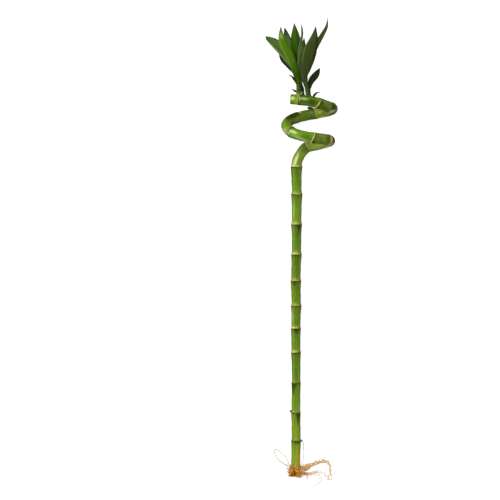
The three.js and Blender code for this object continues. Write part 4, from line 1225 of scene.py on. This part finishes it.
def curled_roots(draws):
    """Short roots that curl out of the mat on all sides."""
    curled, roots = CURLED_ROOTS, []
    for index in range(curled["count"]):
        angle = TURN * index * curled["between"] + draws.sway(0.2)
        start = draws.between(ROOT_MAT["from"] + 1, ROOT_MAT["to"] - 1.5)
        swing = draws.sway(curled["swing"])
        along = draws.between(-1, 0.9) * curled["rise"]
        points = []
        for share in (0, 0.35, 0.7, 1):
            radius = ROOT_MAT["radius"] - 1 + share * curled["reach"] * draws.between(0.55, 0.85)
            y = start + along * share**1.5
            points.append(round_root_end(angle + swing * share, radius, y, curled["flatness"]))
        diameter = curled["diameter"] * draws.between(0.7, 1.1)
        roots.append({**curled, "points": points, "diameter": diameter})
    return roots


def bunched_roots(draws):
    """The long roots of the bunches, which spread from their common paths."""
    roots = []
    for bunch in ROOT_BUNCHES:
        for _ in range(bunch["strands"]):
            points = []
            for index, (x, y, z) in enumerate(bunch["path"]):
                loose = 0.5 if index == 0 else min(1, index / 2)
                x += loose * draws.sway(bunch["spread"])
                y += loose * draws.sway(bunch["spread"])
                z += loose * draws.sway(0.5) * bunch["spread"]
                points.append([x, y, z])
            diameter = bunch["diameter"] * draws.between(0.8, 1.1)
            roots.append({**bunch, "points": points, "diameter": diameter})
    return roots


def companion_paths(points, diameter, count, fine):
    """Thinner roots that wander beside a main one."""
    paths = []
    for _ in range(count):
        shifted = []
        for index, (x, y, z) in enumerate(points):
            spread = COMPANION_SPREAD * min(1, 0.3 + index * 0.5)
            shifted.append([x + fine.sway(spread), y + fine.sway(spread), z + fine.sway(0.6) * spread])
        shown = max(3, round(len(shifted) * fine.between(0.6, 1.0)))
        paths.append((shifted[:shown], diameter * COMPANION_SHARE * fine.between(0.7, 1.1)))
    return paths


def rootlets(points, fine):
    """Short hair-like side roots along a main one."""
    line, found = Line(points, ROOT_FINENESS), []
    length = fine.between(2, ROOTLET_GAP)
    while length < line.length - 1:
        start = line.at(length)
        ahead = line.at(length + 0.5) - start
        bearing = math.atan2(ahead[1], ahead[0]) + fine.between(0.5, 1.2) * math.copysign(1, fine.sway(1))
        size = ROOTLET_LENGTH * fine.between(0.4, 1.2)
        bend = fine.sway(0.5)
        path = []
        for share in (0, 0.4, 0.75, 1):
            turn = bearing + bend * share
            path.append(start + size * share * np.array([math.cos(turn), math.sin(turn), -0.1]))
        found.append((path, ROOTLET_DIAMETER * fine.between(0.8, 1.2)))
        length += ROOTLET_GAP * fine.between(0.5, 1.5)
    return found


def mat_strand_paths(radii, fine):
    """Roots that wind over the mat round the cane's end."""
    mat, strands, paths = ROOT_MAT, MAT_STRANDS, []
    for index in range(strands["count"]):
        angle = TURN * (index * strands["between"] + fine.sway(0.03))
        height = mix(mat["from"], mat["to"], fine.between(0, 1) ** 1.3)
        swing, climb = fine.sway(strands["swing"]), fine.sway(strands["climb"])
        outward = fine.between(0, 1) ** 1.5
        layer = mix(strands["inner"], strands["outer"], outward)
        points = []
        for share in np.linspace(0, 1, 6):
            bearing = angle + swing * share
            top = mat["to"] + strands["over"] - MAT_TOP_DIP * max(0, math.sin(bearing)) ** 2
            bottom = mat["from"] - strands["under"] + MAT_LEFT_LIFT * max(0, -math.cos(bearing))
            y = np.clip(height + climb * share + fine.sway(1.5), bottom, top)
            step = np.clip((y - mat["from"]) / (mat["to"] - mat["from"]), 0, 1) * mat["steps"]
            side = (-bearing / TURN * mat["sides"]) % mat["sides"]
            radius = radii[int(round(step))][int(side)] + layer + fine.sway(0.9)
            radius -= MAT_TOP_TAPER * max(0, y - mat["to"])
            points.append(round_root_end(bearing, radius, y))
        # Inner strands and those low down are darker: painted shade inside the mat and near the floor.
        tone = outward + fine.sway(0.2) - 0.9 * max(0, 1 - height / 5)
        paths.append((points, strands["diameter"] * fine.between(0.6, 1.25), tone))
    return paths


def climbing_root_paths(fine):
    """Light roots that climb from the mat a little way up the cane's upper side."""
    climbing, paths = CLIMBING_ROOTS, []
    for index in range(climbing["count"]):
        bearing = math.radians(mix(15, 165, (index + fine.between(0.1, 0.9)) / climbing["count"]))
        swing = fine.sway(climbing["swing"])
        top = climbing["to"] - fine.between(0, 5)
        points = []
        for share in (0, 0.3, 0.6, 0.85, 1):
            reach = ROOT_DIAMETER / 2 + climbing["clearance"] + 0.9 * (1 - share) + fine.between(0, 0.4)
            turn = bearing + swing * share + fine.sway(0.05)
            points.append(round_root_end(turn, reach, mix(climbing["from"], top, share)))
        paths.append((points, climbing["diameter"] * fine.between(0.6, 1.2)))
    return paths


def make_mat_core(radii, finish):
    """The packed inside of the mat, just below its outer roots, dark as painted shade between them."""
    mat, core = ROOT_MAT, MAT_CORE
    heights = np.linspace(mat["from"], mat["to"], mat["steps"] + 1)
    turns = np.arange(core["sides"]) / core["sides"]
    bearings = -TURN * turns
    loops = []
    for height in np.linspace(mat["from"] + 0.2, core["top"], core["rows"]):
        row = [np.interp(height, heights, column) for column in radii.T]
        reach = np.interp(turns * mat["sides"], range(mat["sides"] + 1), [*row, row[0]]) - core["depth"]
        reach += 0.25 * np.sin(bearings * 17 + height * 3) + 0.2 * np.sin(bearings * 29 - height * 5)
        end = min(height - mat["from"], core["top"] - height)
        reach *= 1 - core["edge"] * math.exp(-end / 0.9)
        loops.append([round_root_end(bearing, r, height) for bearing, r in zip(bearings, reach)])
    loops = np.array(loops)[:, ::-1]
    loops[..., 2] = np.maximum(0.1, loops[..., 2])
    skin = closed_skin("root_mat", loops, {"tone": core["tone"], "share": 0.0})
    add_piece("root_mat", skin, finish=finish)


def make_roots(tree):
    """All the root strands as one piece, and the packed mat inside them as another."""
    draws, fine = Draws(ROOT_SEED), Draws(FINE_ROOT_SEED)
    radii = mat_radii(draws)
    curled, bunched = curled_roots(draws), bunched_roots(draws)
    lines = []
    for root in curled + bunched:
        slim = root["diameter"] * root["slimness"]
        curl = (root["curl"], fine.between(6, 11), fine.between(0, 6))
        lines.append(root_line(root["points"], slim, fine.between(0.1, 1.1), float(root["fine"]),
                               root["tip"], curl=curl))
        lines += [root_line(path, size, fine.between(0.2, 1.2),
                            curl=(ROOT_CURL, fine.between(5, 10), fine.between(0, 6)))
                  for path, size in companion_paths(root["points"], slim, root["companions"], fine)]
    for root in bunched:
        if not root["fine"]:
            lines += [root_line(path, size, fine.between(0.6, 1.0), 0.5, 0.3, 0.6)
                      for path, size in rootlets(root["points"], fine)]
    for points, diameter, tone in mat_strand_paths(radii, fine):
        curl = (MAT_STRANDS["curl"], fine.between(4, 7), fine.between(0, 6))
        lines.append(root_line(points, diameter, tone, curl=curl, fade=0.1))
    for points, diameter in climbing_root_paths(fine):
        lines.append(root_line(points, diameter, fine.between(0.3, 0.8), fade=0.2))
    mesh = grow("root_strands", lines, tree, root_finish("orange_root", STRAND_TONES), ROOT_GROWTH)
    add_piece("root_strands", mesh, "root_tuft")
    make_mat_core(radii, root_finish("packed_root", PACKED_TONES))


# Surface, light and camera


def make_floor():
    mesh = bpy.data.meshes.new("floor")
    half = FLOOR_HALF_WIDTH
    corners = [(-half, -half, 0), (half, -half, 0), (half, half, 0), (-half, half, 0)]
    mesh.from_pydata(corners, [], [(0, 1, 2, 3)])
    mesh.materials.append(floor_finish())
    floor = linked("floor", mesh)
    floor.visible_glossy = False


def make_lights():
    """A white room, a wide light overhead, and a key light up on the left that makes the highlights."""
    world = bpy.data.worlds.new("studio")
    world.use_nodes = True
    background = world.node_tree.nodes["Background"].inputs
    background["Color"].default_value = WHITE
    background["Strength"].default_value = ROOM_STRENGTH
    world.cycles_visibility.glossy = False
    bpy.context.scene.world = world
    for box in SOFTBOXES:
        light = bpy.data.lights.new(box["name"], "AREA")
        light.energy, light.size = box["power"], box["size"]
        lamp = linked(box["name"], light)
        lamp.location = box["place"]
        lamp.visible_glossy = box["glossy"]
        lamp.rotation_euler = (Vector(LIT_PLACE) - lamp.location).to_track_quat("-Z", "Y").to_euler()


def make_camera():
    lens = bpy.data.cameras.new("camera")
    lens.sensor_width = SENSOR_WIDTH
    lens.lens = SENSOR_WIDTH * (CAMERA_PLACE[2] - CANE_TOP_HEIGHT) / (PIXEL_SIZE * PICTURE_WIDTH)
    lens.clip_end = 100.0
    camera = linked("camera", lens)
    camera.location = CAMERA_PLACE
    bpy.context.scene.camera = camera


def main():
    tree = grown_tube_tree()
    bark = cane_finish()
    make_camera()
    make_cane(tree, bark)
    make_side_buds(tree, bark)
    make_stems(tree, shoot_finish())
    make_leaves()
    make_roots(tree)
    make_floor()
    make_lights()
    bpy.context.scene.view_settings.view_transform = "Standard"


main()
